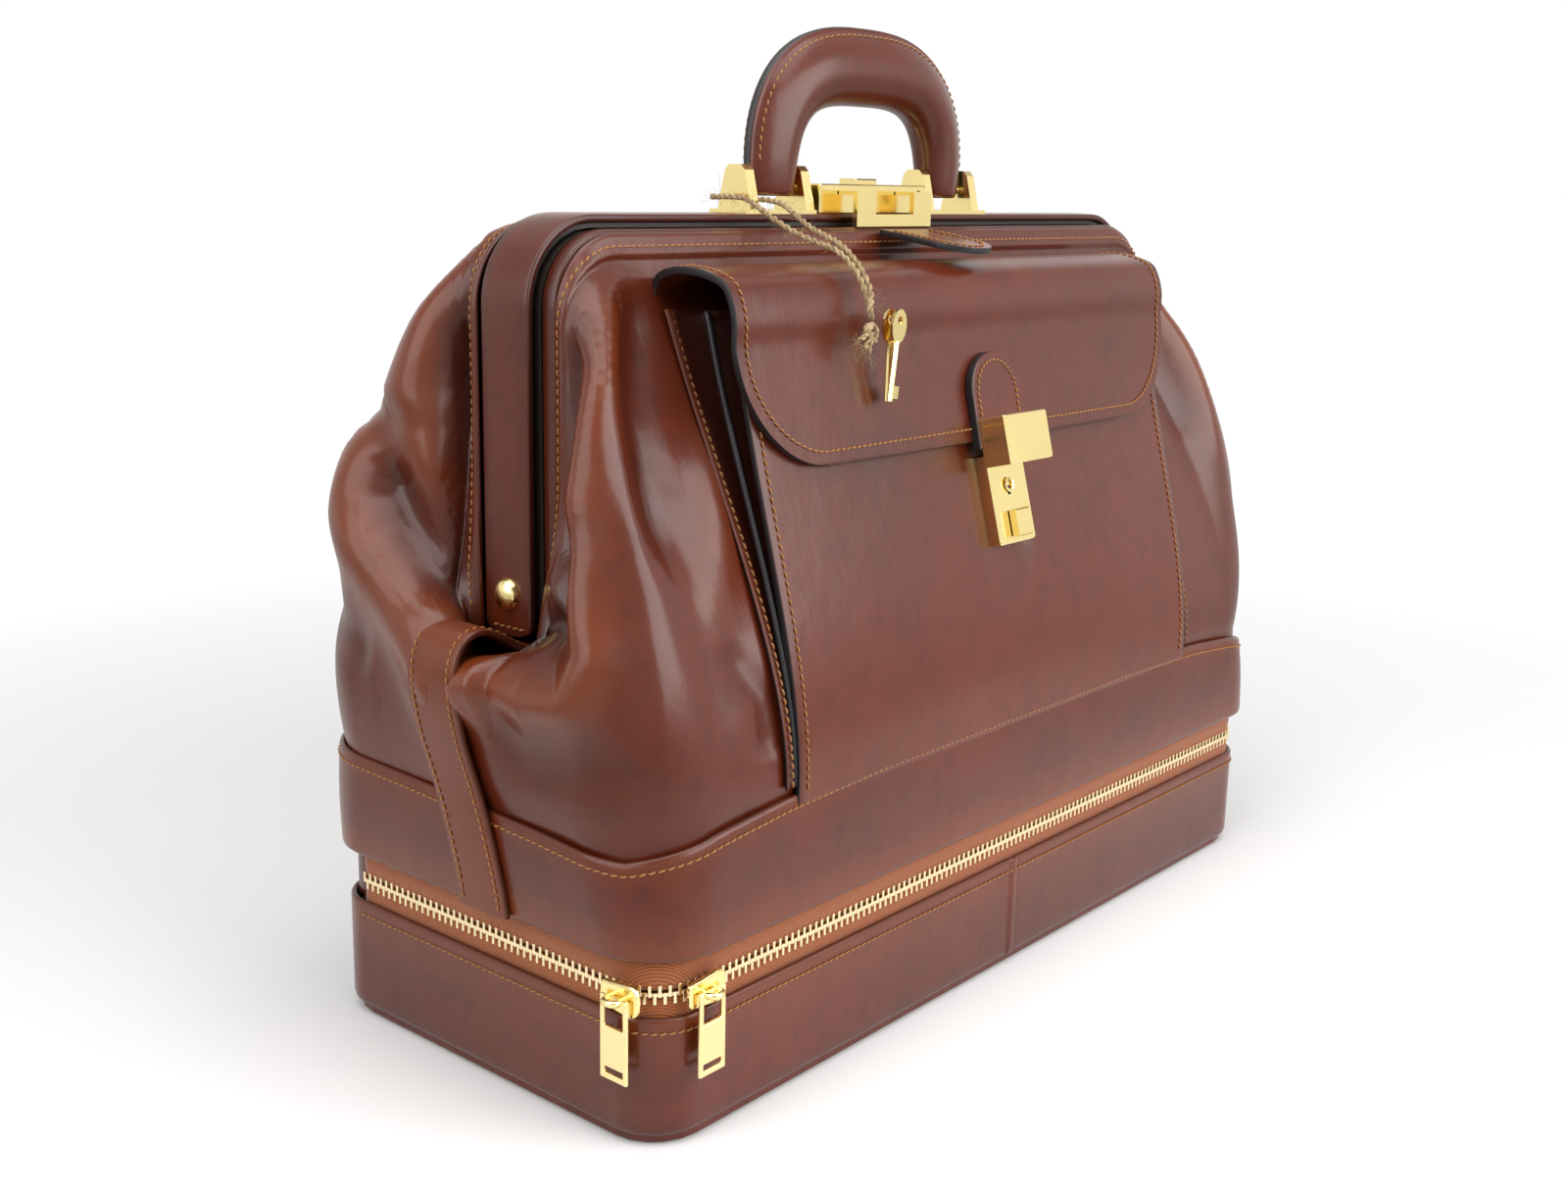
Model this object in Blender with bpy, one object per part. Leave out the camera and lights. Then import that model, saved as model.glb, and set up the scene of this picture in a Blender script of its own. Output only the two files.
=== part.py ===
"""Leather doctor bag with a zipped tray under it. Metres, +Z up, -Y is the front.

The origin is on the floor under the middle of the tray. A hinged frame closes the mouth: the front half and
the back half turn on a rivet at each end, and each hangs on a leather panel that leans out from the band.
"""

import math

import bmesh
import bpy
from mathutils import Matrix, Vector

# ---- Driving dimensions -------------------------------------------------------------------------------
GAP = 0.0004  # between pieces that touch
HARDWARE_X = -0.0045  # middle of the handle and the lock
LEATHER = 0.0025
HALF_LENGTH = 0.2095  # of the tray, along X
HALF_DEPTH = 0.0885  # of the tray, along Y
CORNER = 0.020
SOLE = 0.0025
TRAY_TOP = 0.046
ZIP_Z = 0.0538
ZIP_TAPE_TOP = 0.068
TAPE = 0.0012
BAND_LOW = 0.0665
BAND_TOP_FRONT = 0.112
BAND_TOP_END = 0.105
BAND_LOW_HALF = (0.2125, 0.0915)  # half length and half depth at the band's lower edge
BAND_TOP_HALF = (0.2150, 0.0910)
BAND_SHIFT = 0.0020  # the band's upper edge sits this far back
SEAM_CORNER = 0.034
SEAM_IN = 0.0014  # from the band's outside to the outside of the leather that meets it
RIVET_Z = 0.1745
FRAME_HALF = 0.1930  # outside of the back frame's leather, along X
FRAME_TOP = 0.3030
FRAME_LOW = 0.1600
FRAME_CORNER = 0.030
FRAME_WIDTH = 0.022
STEEL = 0.0016
PANEL_FOOT = 0.1126  # height of the leather's lower edge on the front and back
FRONT_TOP = (-0.0198, 0.2975)  # Y and Z of the front panel's upper edge
REAR_TOP = (0.0140, 0.3020)
LEATHER_LOW = 0.1600  # where the body's leather leaves the frame's leg

# ---- Colours, roughness and metallic value ------------------------------------------------------------
MATERIALS = {
    "leather": ((0.19, 0.055, 0.028), 0.28, 0.0),
    "leather_edge": ((0.02, 0.018, 0.018), 0.45, 0.0),
    "brass": ((0.88, 0.66, 0.24), 0.16, 1.0),
    "steel": ((0.45, 0.45, 0.46), 0.35, 1.0),
    "tape": ((0.42, 0.12, 0.03), 0.85, 0.0),
    "lining": ((0.30, 0.22, 0.14), 0.9, 0.0),
    "board": ((0.22, 0.15, 0.09), 0.9, 0.0),
    "twine": ((0.48, 0.38, 0.22), 0.95, 0.0),
}


def material(name):
    """The named Principled material, made on first use."""
    found = bpy.data.materials.get(name)
    if found is None:
        colour, roughness, metallic = MATERIALS[name]
        found = bpy.data.materials.new(name)
        found.use_nodes = True
        shader = found.node_tree.nodes["Principled BSDF"]
        shader.inputs["Base Color"].default_value = (*colour, 1.0)
        shader.inputs["Roughness"].default_value = roughness
        shader.inputs["Metallic"].default_value = metallic
    return found


def add(name, bm, kind, smooth=False):
    """Links the bmesh as an object with its faces pointing out."""
    bmesh.ops.recalc_face_normals(bm, faces=bm.faces)
    mesh = bpy.data.meshes.new(name)
    bm.to_mesh(mesh)
    bm.free()
    if smooth:
        mesh.shade_smooth()
        mesh.set_sharp_from_angle(angle=math.radians(35))
    obj = bpy.data.objects.new(name, mesh)
    obj.data.materials.append(material(kind))
    bpy.context.scene.collection.objects.link(obj)
    return obj


# ---- Solids from loops of points ----------------------------------------------------------------------
def bridge(bm, a, b, closed=True):
    count = len(a)
    for i in range(count if closed else count - 1):
        j = (i + 1) % count
        bm.faces.new((a[i], a[j], b[j], b[i]))


def loft(name, loops, kind, ring=False, smooth=False):
    """Skins loops of equal length. A ring joins the last loop to the first, and otherwise both ends are capped."""
    bm = bmesh.new()
    rows = [[bm.verts.new(p) for p in loop] for loop in loops]
    for a, b in zip(rows, rows[1:]):
        bridge(bm, a, b)
    if ring:
        bridge(bm, rows[-1], rows[0])
    else:
        bm.faces.new(rows[0])
        bm.faces.new(rows[-1])
    return add(name, bm, kind, smooth)


def block(name, low, high, kind, bevel=0.0):
    """A box between two corners, with its edges bevelled once."""
    bm = bmesh.new()
    bmesh.ops.create_cube(bm, size=1.0)
    for v in bm.verts:
        v.co = Vector([low[k] + (v.co[k] + 0.5) * (high[k] - low[k]) for k in range(3)])
    if bevel:
        bmesh.ops.bevel(bm, geom=bm.edges[:], offset=bevel, segments=1, affect="EDGES")
    return add(name, bm, kind)


def rod(name, start, end, radius, kind, sides=16, dome=0.0):
    """A round bar from start to end, with an optional domed far end of that height."""
    start, end = Vector(start), Vector(end)
    axis = (end - start).normalized()
    turn = axis.to_track_quat("Z", "Y")
    stations = [(0.0, radius), ((end - start).length, radius)]
    if dome:
        for step in (0.45, 0.8, 0.97):
            away = math.sqrt(1 - step * step)
            stations.append(((end - start).length + dome * step, radius * away))
    loops = []
    for along, r in stations:
        centre = start + axis * along
        angles = [2 * math.pi * i / sides for i in range(sides)]
        loops.append([centre + turn @ Vector((r * math.cos(a), r * math.sin(a), 0)) for a in angles])
    return loft(name, loops, kind, smooth=True)


def slab(name, outline, place, thick, kind, bevel=0.0):
    """A flat piece: outline is (across, up) pairs, and place(across, up, out) gives the point in the model."""
    bm = bmesh.new()
    rows = [[bm.verts.new(place(a, b, out)) for a, b in outline] for out in (0.0, thick)]
    bridge(bm, rows[0], rows[1])
    bm.faces.new(rows[0])
    top = bm.faces.new(rows[1])
    if bevel:
        bmesh.ops.recalc_face_normals(bm, faces=bm.faces)
        bmesh.ops.bevel(bm, geom=list(top.edges), offset=bevel, segments=1, affect="EDGES")
    return add(name, bm, kind)


def arc(centre, radius, start, end, steps):
    """Points on a round stretch, angles in degrees."""
    angles = [math.radians(start + (end - start) * i / steps) for i in range(steps + 1)]
    return [(centre[0] + radius * math.cos(a), centre[1] + radius * math.sin(a)) for a in angles]


def rounded(half_x, half_y, radius, steps=5, shift=0.0):
    """A rectangle with round corners, anticlockwise from the back right corner, moved back by shift."""
    points = []
    for sx, sy, start in ((1, 1, 0), (-1, 1, 90), (-1, -1, 180), (1, -1, 270)):
        centre = (sx * (half_x - radius), sy * (half_y - radius) + shift)
        points += arc(centre, radius, start, start + 90, steps)
    return points


def divided(outline, pieces):
    """The outline with each long straight side cut into pieces."""
    points = []
    for a, b in zip(outline, outline[1:] + outline[:1]):
        count = pieces if math.dist(a, b) > 0.1 else 1
        points += [(a[0] + (b[0] - a[0]) * i / count, a[1] + (b[1] - a[1]) * i / count) for i in range(count)]
    return points


def level(outline, z):
    return [Vector((x, y, z)) for x, y in outline]


# ---- The tray and what closes it ----------------------------------------------------------------------
def wall_path(half_x, half_y, radius, back, steps=5):
    """The open path round the right end, the front and the left end, from the back and to the back."""
    path = [(half_x, back)]
    path += arc((half_x - radius, -half_y + radius), radius, 0, -90, steps)
    path += arc((-half_x + radius, -half_y + radius), radius, -90, -180, steps)
    path.append((-half_x, back))
    return path


def strip(name, inset, low, high, thick, kind):
    """A thin upright strip round three sides of the tray, inset from the tray's outside."""
    back = HALF_DEPTH - CORNER
    outer = wall_path(HALF_LENGTH - inset, HALF_DEPTH - inset, CORNER - inset, back)
    inner = wall_path(
        HALF_LENGTH - inset - thick, HALF_DEPTH - inset - thick, CORNER - inset - thick, back
    )
    loops = []
    for (ox, oy), (ix, iy) in zip(outer, inner):
        loops.append([Vector((ox, oy, low)), Vector((ox, oy, high)), Vector((ix, iy, high)),
                      Vector((ix, iy, low))])
    return loft(name, loops, kind)


def tray():
    loft(
        "base_sole",
        [level(rounded(HALF_LENGTH - 0.002, HALF_DEPTH - 0.002, CORNER), z) for z in (0.0, SOLE)],
        "leather",
    )
    floor = SOLE + GAP
    outside = rounded(HALF_LENGTH, HALF_DEPTH, CORNER)
    inside = rounded(HALF_LENGTH - LEATHER, HALF_DEPTH - LEATHER, CORNER - LEATHER)
    loft(
        "base_tray",
        [level(outside, floor), level(outside, TRAY_TOP), level(inside, TRAY_TOP),
         level(inside, floor + LEATHER)],
        "leather",
    )
    skin = LEATHER + GAP
    cloth = 0.001
    outside = rounded(HALF_LENGTH - skin, HALF_DEPTH - skin, CORNER - skin)
    inside = rounded(HALF_LENGTH - skin - cloth, HALF_DEPTH - skin - cloth, CORNER - skin - cloth)
    low, high = floor + skin, TRAY_TOP - 0.006
    loft(
        "tray_lining",
        [level(outside, low), level(outside, high), level(inside, high), level(inside, low + cloth)],
        "lining",
    )
    teeth = 0.0022
    strip("zip_tape_lower", LEATHER + GAP, TRAY_TOP - 0.0055, ZIP_Z - 0.0022, TAPE, "tape")
    strip("zip_teeth_lower", 0.0016, ZIP_Z - 0.0020, ZIP_Z - 0.0002, teeth, "brass")
    strip("zip_teeth_upper", 0.0016, ZIP_Z + 0.0002, ZIP_Z + 0.0020, teeth, "brass")
    strip("zip_tape_upper", LEATHER + GAP, ZIP_Z + 0.0022, ZIP_TAPE_TOP, TAPE, "tape")
    block(
        "rear_hinge_strip",
        (-HALF_LENGTH + CORNER, HALF_DEPTH - 0.0015, TRAY_TOP + 0.0010),
        (HALF_LENGTH - CORNER, HALF_DEPTH, BAND_LOW - GAP),
        "leather",
    )


def band_edge(angle_share_x, top):
    """Height of the band's upper edge: level at the front and back, lower at the ends."""
    return top * (1 - angle_share_x) + BAND_TOP_END * angle_share_x


def end_share(x):
    """0 on the long sides and 1 on the ends, eased round the corners."""
    share = (abs(x) - (BAND_TOP_HALF[0] - SEAM_CORNER * 1.6)) / (SEAM_CORNER * 1.6)
    share = min(1.0, max(0.0, share))
    return share * share * (3 - 2 * share)


def band():
    """The stiff leather ring above the zip, which the body's leather is sewn to."""
    low_corner = 0.026

    def outlines(inset):
        low = rounded(BAND_LOW_HALF[0] - inset, BAND_LOW_HALF[1] - inset, low_corner - inset)
        top = rounded(BAND_TOP_HALF[0] - inset, BAND_TOP_HALF[1] - inset, SEAM_CORNER - inset,
                      shift=BAND_SHIFT)
        return divided(low, 8), divided(top, 8)

    low_out, top_out = outlines(0.0)
    low_in, top_in = outlines(LEATHER)

    def topped(outline):
        return [Vector((x, y, band_edge(end_share(x), BAND_TOP_FRONT))) for x, y in outline]

    loft("body_band", [level(low_out, BAND_LOW), topped(top_out), topped(top_in), level(low_in, BAND_LOW)],
         "leather", ring=True)
    board_z = BAND_LOW + 0.002
    inset = LEATHER + 0.003
    board = rounded(BAND_LOW_HALF[0] - inset, BAND_LOW_HALF[1] - inset, 0.022)
    loft("divider_board", [level(board, board_z), level(board, board_z + 0.003)], "board")


# ---- The body's leather: one piece for the front half and one for the back half ------------------------
def frame_edge(w, half, top, low, radius):
    """X and Z on the frame's edge: w runs from the leg's low end (0) over the corner to the middle (1)."""
    leg, turn = 0.45, 0.60
    if w < leg:
        return half, low + (top - radius - low) * w / leg
    if w < turn:
        angle = math.radians(90 * (w - leg) / (turn - leg))
        return half - radius + radius * math.cos(angle), top - radius + radius * math.sin(angle)
    return (half - radius) * (1 - w) / (1 - turn), top


def seam_edge(w, side):
    """X and Y (both outward) on the seam: w runs from the middle of the end (0) to the middle of the face (1)."""
    end, turn = 0.33, 0.60
    half_x, half_y = BAND_TOP_HALF[0] - SEAM_IN, BAND_TOP_HALF[1] - SEAM_IN + side * BAND_SHIFT
    if w < end:
        return half_x, GAP + (half_y - SEAM_CORNER - GAP) * w / end
    if w < turn:
        angle = math.radians(90 * (w - end) / (turn - end))
        return half_x - SEAM_CORNER * (1 - math.cos(angle)), half_y - SEAM_CORNER * (1 - math.sin(angle))
    return (half_x - SEAM_CORNER) * (1 - w) / (1 - turn), half_y


# Handles of the curve from frame to seam, as (outward along X, outward along Y, up), at five places along w.
HANDLES_AT = (0.0, 0.25, 0.5, 0.63, 1.0)
FRONT_FRAME_HANDLES = (
    (0.020, 0.000, 0.000), (0.006, 0.020, -0.012), (0.004, 0.018, -0.030), (0.0, 0.012, -0.055),
    (0.0, 0.012, -0.055)
)
FRONT_SEAM_HANDLES = (
    (0.012, 0.0, 0.042), (0.012, 0.004, 0.060), (0.008, 0.008, 0.068), (0.0, 0.000, 0.055),
    (0.0, 0.000, 0.055)
)
REAR_FRAME_HANDLES = (
    (0.020, 0.000, 0.000), (0.006, 0.030, -0.010), (0.004, 0.034, -0.022), (0.0, 0.028, -0.040),
    (0.0, 0.024, -0.046)
)
REAR_SEAM_HANDLES = (
    (0.012, 0.0, 0.042), (0.012, 0.010, 0.062), (0.008, 0.014, 0.072), (0.0, 0.012, 0.064),
    (0.0, 0.010, 0.060)
)


def eased(w, values):
    """Smooth values between the places in HANDLES_AT."""
    for i in range(len(HANDLES_AT) - 1):
        if w <= HANDLES_AT[i + 1]:
            s = (w - HANDLES_AT[i]) / (HANDLES_AT[i + 1] - HANDLES_AT[i])
            s = s * s * (3 - 2 * s)
            return Vector(values[i]) * (1 - s) + Vector(values[i + 1]) * s
    return Vector(values[-1])


def body_point(u, t, side):
    """A point of the body's outside: u from the left end's middle to the right's, t from the frame to the seam."""
    w = 1 - abs(2 * u - 1)
    hand = -1 if u < 0.5 else 1
    if side < 0:
        x, z = frame_edge(w, FRAME_HALF - 0.0055, FRONT_TOP[1], LEATHER_LOW, FRAME_CORNER - 0.005)
        start = Vector((x, -FRONT_TOP[0], z))
        first, second = eased(w, FRONT_FRAME_HANDLES), eased(w, FRONT_SEAM_HANDLES)
    else:
        x, z = frame_edge(w, FRAME_HALF - 0.0005, REAR_TOP[1], LEATHER_LOW, FRAME_CORNER)
        start = Vector((x, REAR_TOP[0], z))
        first, second = eased(w, REAR_FRAME_HANDLES), eased(w, REAR_SEAM_HANDLES)
    x, y = seam_edge(w, side)
    end = Vector((x, y, band_edge(end_share(x), PANEL_FOOT) + 2 * GAP))
    s = 1 - t
    point = start * s**3 + (start + first) * 3 * s * s * t + (end + second) * 3 * s * t * t + end * t**3
    return Vector((hand * point.x, side * point.y, point.z))


def body_leather(name, side, across=32, down=9):
    """A leather shell of even thickness on the body's outside."""
    bm = bmesh.new()
    outer, inner = [], []
    for i in range(across + 1):
        row_out, row_in = [], []
        for j in range(down + 1):
            u, t = i / across, j / down
            step = 0.004
            along = body_point(min(1, u + step), t, side) - body_point(max(0, u - step), t, side)
            below = body_point(u, min(1, t + step), side) - body_point(u, max(0, t - step), side)
            normal = along.cross(below).normalized() * side
            point = body_point(u, t, side)
            row_out.append(bm.verts.new(point))
            row_in.append(bm.verts.new(point - normal * LEATHER))
        outer.append(row_out)
        inner.append(row_in)
    for i in range(across):
        for j in range(down):
            bm.faces.new((outer[i][j], outer[i + 1][j], outer[i + 1][j + 1], outer[i][j + 1]))
            bm.faces.new((inner[i][j], inner[i][j + 1], inner[i + 1][j + 1], inner[i + 1][j]))
    for i in range(across):
        for j in (0, down):
            bm.faces.new((outer[i][j], outer[i + 1][j], inner[i + 1][j], inner[i][j]))
    for j in range(down):
        for i in (0, across):
            bm.faces.new((outer[i][j], outer[i][j + 1], inner[i][j + 1], inner[i][j]))
    return add(name, bm, "leather", smooth=True)


# ---- The hinged frame ---------------------------------------------------------------------------------
def u_outline(half, top, low, radius, steps=6):
    """The frame's line in X and Z, from the left leg's low end to the right leg's."""
    line = [(-half, low)]
    line += arc((-half + radius, top - radius), radius, 180, 90, steps)
    line += arc((half - radius, top - radius), radius, 90, 0, steps)
    line.append((half, low))
    return line


def u_strip(name, half, top, low, radius, thick, front, back, kind):
    """A flat strip bent into the frame's U, between two Y values."""
    outer = u_outline(half, top, low, radius)
    inner = u_outline(half - thick, top - thick, low, radius - thick)
    loops = []
    for (ox, oz), (ix, iz) in zip(outer, inner):
        loops.append([Vector((ox, front, oz)), Vector((ox, back, oz)), Vector((ix, back, iz)),
                      Vector((ix, front, iz))])
    return loft(name, loops, kind)


def frames():
    half_width = FRAME_WIDTH / 2
    u_strip("rear_frame_cover", FRAME_HALF, FRAME_TOP, FRAME_LOW, FRAME_CORNER, 0.0022,
            -half_width, half_width, "leather")
    inset = 0.0022 + GAP
    u_strip("rear_frame_steel", FRAME_HALF - inset, FRAME_TOP - inset, FRAME_LOW + 0.004,
            FRAME_CORNER - inset, STEEL,
            -half_width + 0.002, half_width - 0.001, "steel")
    inset += STEEL + 2 * GAP
    u_strip("front_frame_steel", FRAME_HALF - inset, FRAME_TOP - inset, FRAME_LOW + 0.006,
            FRAME_CORNER - inset, STEEL,
            -0.0122, 0.004, "steel")
    u_strip("front_frame_cover", FRAME_HALF - inset, FRAME_TOP - inset, FRAME_LOW + 0.004,
            FRAME_CORNER - inset, 0.0030,
            -0.0168, -0.0126, "leather")
    for hand, label in ((-1, "left"), (1, "right")):
        face = hand * (FRAME_HALF + GAP)
        rod("rivet_" + label, (face, 0, RIVET_Z), (face + hand * 0.0008, 0, RIVET_Z), 0.0052, "brass", 20,
            0.0026)
        inside = hand * (FRAME_HALF - inset - STEEL - 2 * GAP)
        block("hinge_plate_" + label,
              (min(inside, inside - hand * 0.0015), -0.008, RIVET_Z - 0.012),
              (max(inside, inside - hand * 0.0015), 0.008, RIVET_Z + 0.010), "brass", 0.0004)


# ---- Brass on top of the frame, and the handle ----------------------------------------------------------
PLATE_Z = FRAME_TOP + GAP
PLATE = 0.0016
BRACKET_X = (0.0425, 0.0700)  # inner faces of the two ears of a handle bracket
EAR = 0.0050
PIN_Z = 0.3135
HANDLE_X = 0.0552
HANDLE_LOW = 0.3100
HANDLE_TOP = 0.3595
HANDLE_WIDE = 0.0130  # half the grip's width in the handle's plane
HANDLE_THICK = 0.0105


def at_hardware(x, y, z):
    return Vector((HARDWARE_X + x, y, z))


def ear_outline(half_low, half_top, low, high):
    return [(-half_low, low), (half_low, low), (half_top, high - 0.002), (half_top - 0.002, high),
            (-half_top + 0.002, high), (-half_top, high - 0.002)]


def brackets():
    for hand, label in ((-1, "left"), (1, "right")):
        ears = []
        for x in (BRACKET_X[0] - EAR, BRACKET_X[1]):
            outline = ear_outline(0.0085, 0.0050, PLATE_Z + PLATE - 0.0004, 0.3215)
            ears.append(slab("ear", outline, lambda a, b, out, x=x: at_hardware(hand * (x + out), a, b), EAR,
                             "brass"))
        ends = (hand * (BRACKET_X[0] - EAR), hand * (BRACKET_X[1] + EAR + 0.0035))
        base = block("handle_bracket_" + label, at_hardware(min(ends), -0.0095, PLATE_Z),
                     at_hardware(max(ends), 0.0095, PLATE_Z + PLATE), "brass")
        union(base, *ears)
        start, end = hand * (BRACKET_X[0] + GAP), hand * (BRACKET_X[1] - GAP)
        rod("handle_pin_" + label, at_hardware(start, 0, PIN_Z), at_hardware(end, 0, PIN_Z), 0.0018, "brass",
            12)


def union(base, *others):
    """Joins solids that overlap into the first one with Boolean modifiers, and keeps the others as guides."""
    for other in others:
        other.hide_render = True
        other.display_type = "WIRE"
        join = base.modifiers.new("join", "BOOLEAN")
        join.operation = "UNION"
        join.object = other
        join.solver = "EXACT"


def cut(base, *cutters):
    for cutter in cutters:
        cutter.hide_render = True
        cutter.display_type = "WIRE"
        hole = base.modifiers.new("cut", "BOOLEAN")
        hole.operation = "DIFFERENCE"
        hole.object = cutter
        hole.solver = "EXACT"


def handle_line(steps=22):
    """X and Z down the middle of the grip, with its outward normal: a flattened arch."""
    power = 0.68
    line = []
    for i in range(steps + 1):
        angle = math.pi * (1 - i / steps)
        c, s = math.cos(angle), math.sin(angle)
        x = HANDLE_X * math.copysign(abs(c) ** power, c)
        z = HANDLE_LOW + (HANDLE_TOP - HANDLE_LOW) * abs(s) ** power
        line.append(at_hardware(x, 0, z))
    return line


def handle():
    line = handle_line()
    grip, welt = [], []
    for i, p in enumerate(line):
        ahead, behind = line[min(i + 1, len(line) - 1)], line[max(i - 1, 0)]
        along = (ahead - behind).normalized()
        if i in (0, len(line) - 1):
            along = Vector((0, 0, 1 if i == 0 else -1))
        out = Vector((-along.z, 0, along.x))
        share = math.sin(math.pi * i / (len(line) - 1)) ** 0.5
        wide = 0.0085 + (HANDLE_WIDE - 0.0085) * share
        thick = 0.0075 + (HANDLE_THICK - 0.0075) * share
        ring = [2 * math.pi * k / 14 for k in range(14)]
        grip.append([p + out * (wide * math.cos(a) - 0.0012) + Vector((0, thick * math.sin(a),
                                                                       0)) for a in ring])
        edge = wide - 0.0012 + GAP
        corners = ((edge, -0.0016), (edge + 0.0042, -0.0016), (edge + 0.0042, 0.0016), (edge, 0.0016))
        welt.append([p + out * a + Vector((0, b, 0)) for a, b in corners])
    grip_object = loft("handle_grip", grip, "leather", smooth=True)
    loft("handle_welt", welt[1:-1], "leather_edge")
    holes = [rod("pin_hole", at_hardware(hand * 0.030, 0, PIN_Z), at_hardware(hand * 0.085, 0, PIN_Z),
                 0.0018 + GAP, "brass", 12) for hand in (-1, 1)]
    cut(grip_object, *holes)


LOCK_X = (-0.0355, 0.0345)
LOCK_Y = (-0.0095, 0.0090)
LOCK_TOP = 0.3150
BUTTON_DEEP = 0.0052
BUTTON_TRAVEL = 0.0016


def top_lock():
    case = block("lock_case", at_hardware(LOCK_X[0], LOCK_Y[0], PLATE_Z),
                 at_hardware(LOCK_X[1], LOCK_Y[1], LOCK_TOP),
                 "brass", 0.0006)
    well = block("button_well", at_hardware(-0.0075, -0.0050, LOCK_TOP - BUTTON_DEEP),
                 at_hardware(0.0075, 0.0050, LOCK_TOP + 0.002), "brass")
    barrel_at = at_hardware(0.0290, 0, 0.3100)
    front, back = Vector((0, LOCK_Y[0], 0)), Vector((0, -0.0010, 0))
    bore = rod("barrel_well", barrel_at + front * 1.2, barrel_at + back + Vector((0, GAP, 0)), 0.0030,
               "brass")
    cut(case, well, bore)
    block("lock_button", at_hardware(-0.0070, -0.0045, LOCK_TOP - BUTTON_DEEP + BUTTON_TRAVEL + GAP),
          at_hardware(0.0070, 0.0045, LOCK_TOP + 0.0022), "brass", 0.0005)
    rod("lock_barrel", barrel_at + front + Vector((0, -0.0010, 0)), barrel_at + back, 0.0030 - GAP, "brass")
    face = -0.0172
    thick = 0.0022
    hasp = block("top_hasp", at_hardware(-0.0245, face - thick, 0.2988), at_hardware(0.0245, face, 0.3035),
                 "brass")
    tabs = []
    for low, high in ((-0.0245, -0.0125), (0.0125, 0.0245)):
        tabs.append(block("hasp_tab", at_hardware(low, face - thick, 0.3025), at_hardware(high, face, 0.3125),
                          "brass"))
        tabs.append(block("hasp_tip", at_hardware(low, face - thick / 2, 0.3110),
                          at_hardware(high, LOCK_Y[0] - GAP, 0.3124), "brass"))
    union(hasp, *tabs)
    pull_tab()


PULL_ROOT = (-0.0235, 0.2955)  # Y and Z of the line the pull tab bends along


def pull_tab():
    """The leather tongue that opens the mouth, rooted under the hasp."""
    reach, half = 0.0400, 0.0150
    outline = [(-half, 0.0), (half, 0.0), (half, reach - half)]
    outline += arc((0, reach - half), half, 0, 180, 8)[1:-1]
    outline += [(-half, reach - half)]

    def place(across, out, up):
        return at_hardware(across, PULL_ROOT[0] - out, PULL_ROOT[1] + up - 0.11 * out - 1.0 * out * out)

    slab("pull_tab", outline, place, 0.0022, "leather")


# ---- The front pocket ---------------------------------------------------------------------------------
POCKET_HALF = 0.1370
POCKET_X = -0.0050
POCKET_LOW = 0.1160
POCKET_TOP = 0.2680
POCKET_DEPTH = 0.0270


def panel_y(z):
    """Y of the front leather's outside in its middle, at a height."""
    above, below = body_point(0.5, 0.0, -1), None
    for j in range(1, 41):
        below = body_point(0.5, j / 40, -1)
        if below.z <= z:
            share = (above.z - z) / (above.z - below.z)
            return above.y + (below.y - above.y) * max(0.0, share)
        above = below
    return below.y


def pocket_depth(z):
    """How far the pocket's front stands off the panel at a height."""
    s = min(1.0, max(0.0, (z - POCKET_LOW) / (POCKET_TOP - POCKET_LOW)))
    return 2 * GAP + POCKET_DEPTH * s**1.6


def pocket():
    steps = 8
    thick = 0.0022
    heights = [POCKET_LOW + (POCKET_TOP - POCKET_LOW) * i / steps for i in range(steps + 1)]
    loops = []
    for z in heights:
        y = panel_y(z) - pocket_depth(z)
        x0, x1 = POCKET_X - POCKET_HALF, POCKET_X + POCKET_HALF
        loops.append([Vector((x0, y, z)), Vector((x1, y, z)), Vector((x1, y - thick, z)),
                      Vector((x0, y - thick, z))])
    loft("pocket_front", loops, "leather")
    for hand, label in ((-1, "left"), (1, "right")):
        loops = []
        for z in heights[2:]:
            x = POCKET_X + hand * (POCKET_HALF - 0.0008)
            inner = x - hand * 0.0018
            back, front = panel_y(z) - GAP, panel_y(z) - pocket_depth(z) + GAP
            loops.append([Vector((x, back, z)), Vector((x, front, z)), Vector((inner, front, z)),
                          Vector((inner, back, z))])
        loft("pocket_gusset_" + label, loops, "leather_edge")


FLAP_HALF = 0.1430
FLAP_THICK = 0.0026
FOLD_DROP = 0.0085  # from the fold's top to the line that the flap turns about
FLAP_LOW = 0.2190
FLAP_CORNER = 0.030


def pocket_face(z):
    """Y of the pocket front's outside."""
    return panel_y(z) - pocket_depth(min(z, POCKET_TOP)) - 0.0022


def fold_line(lift):
    """The fixed part of the flap in Y and Z: from the panel over the fold."""
    top = POCKET_TOP + 0.0165
    back, front = panel_y(top) - 0.0010, pocket_face(POCKET_TOP) - 0.0012
    line = [(back - lift * 0.3, top + lift), (back * 0.5 + front * 0.5, top + 0.0004 + lift)]
    line += [(front + 0.0050 - lift * 0.5, top - 0.0024 + lift * 0.9), (front - lift, top - FOLD_DROP)]
    return line


def flap_line(lift):
    """The part that turns: down the pocket's face from just under the fold."""
    steps = 6
    top = POCKET_TOP + 0.0165 - FOLD_DROP - GAP
    line = []
    for i in range(steps + 1):
        z = top + (FLAP_LOW - top) * i / steps
        line.append((pocket_face(z) - 0.0012 - lift, z))
    return line


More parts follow.
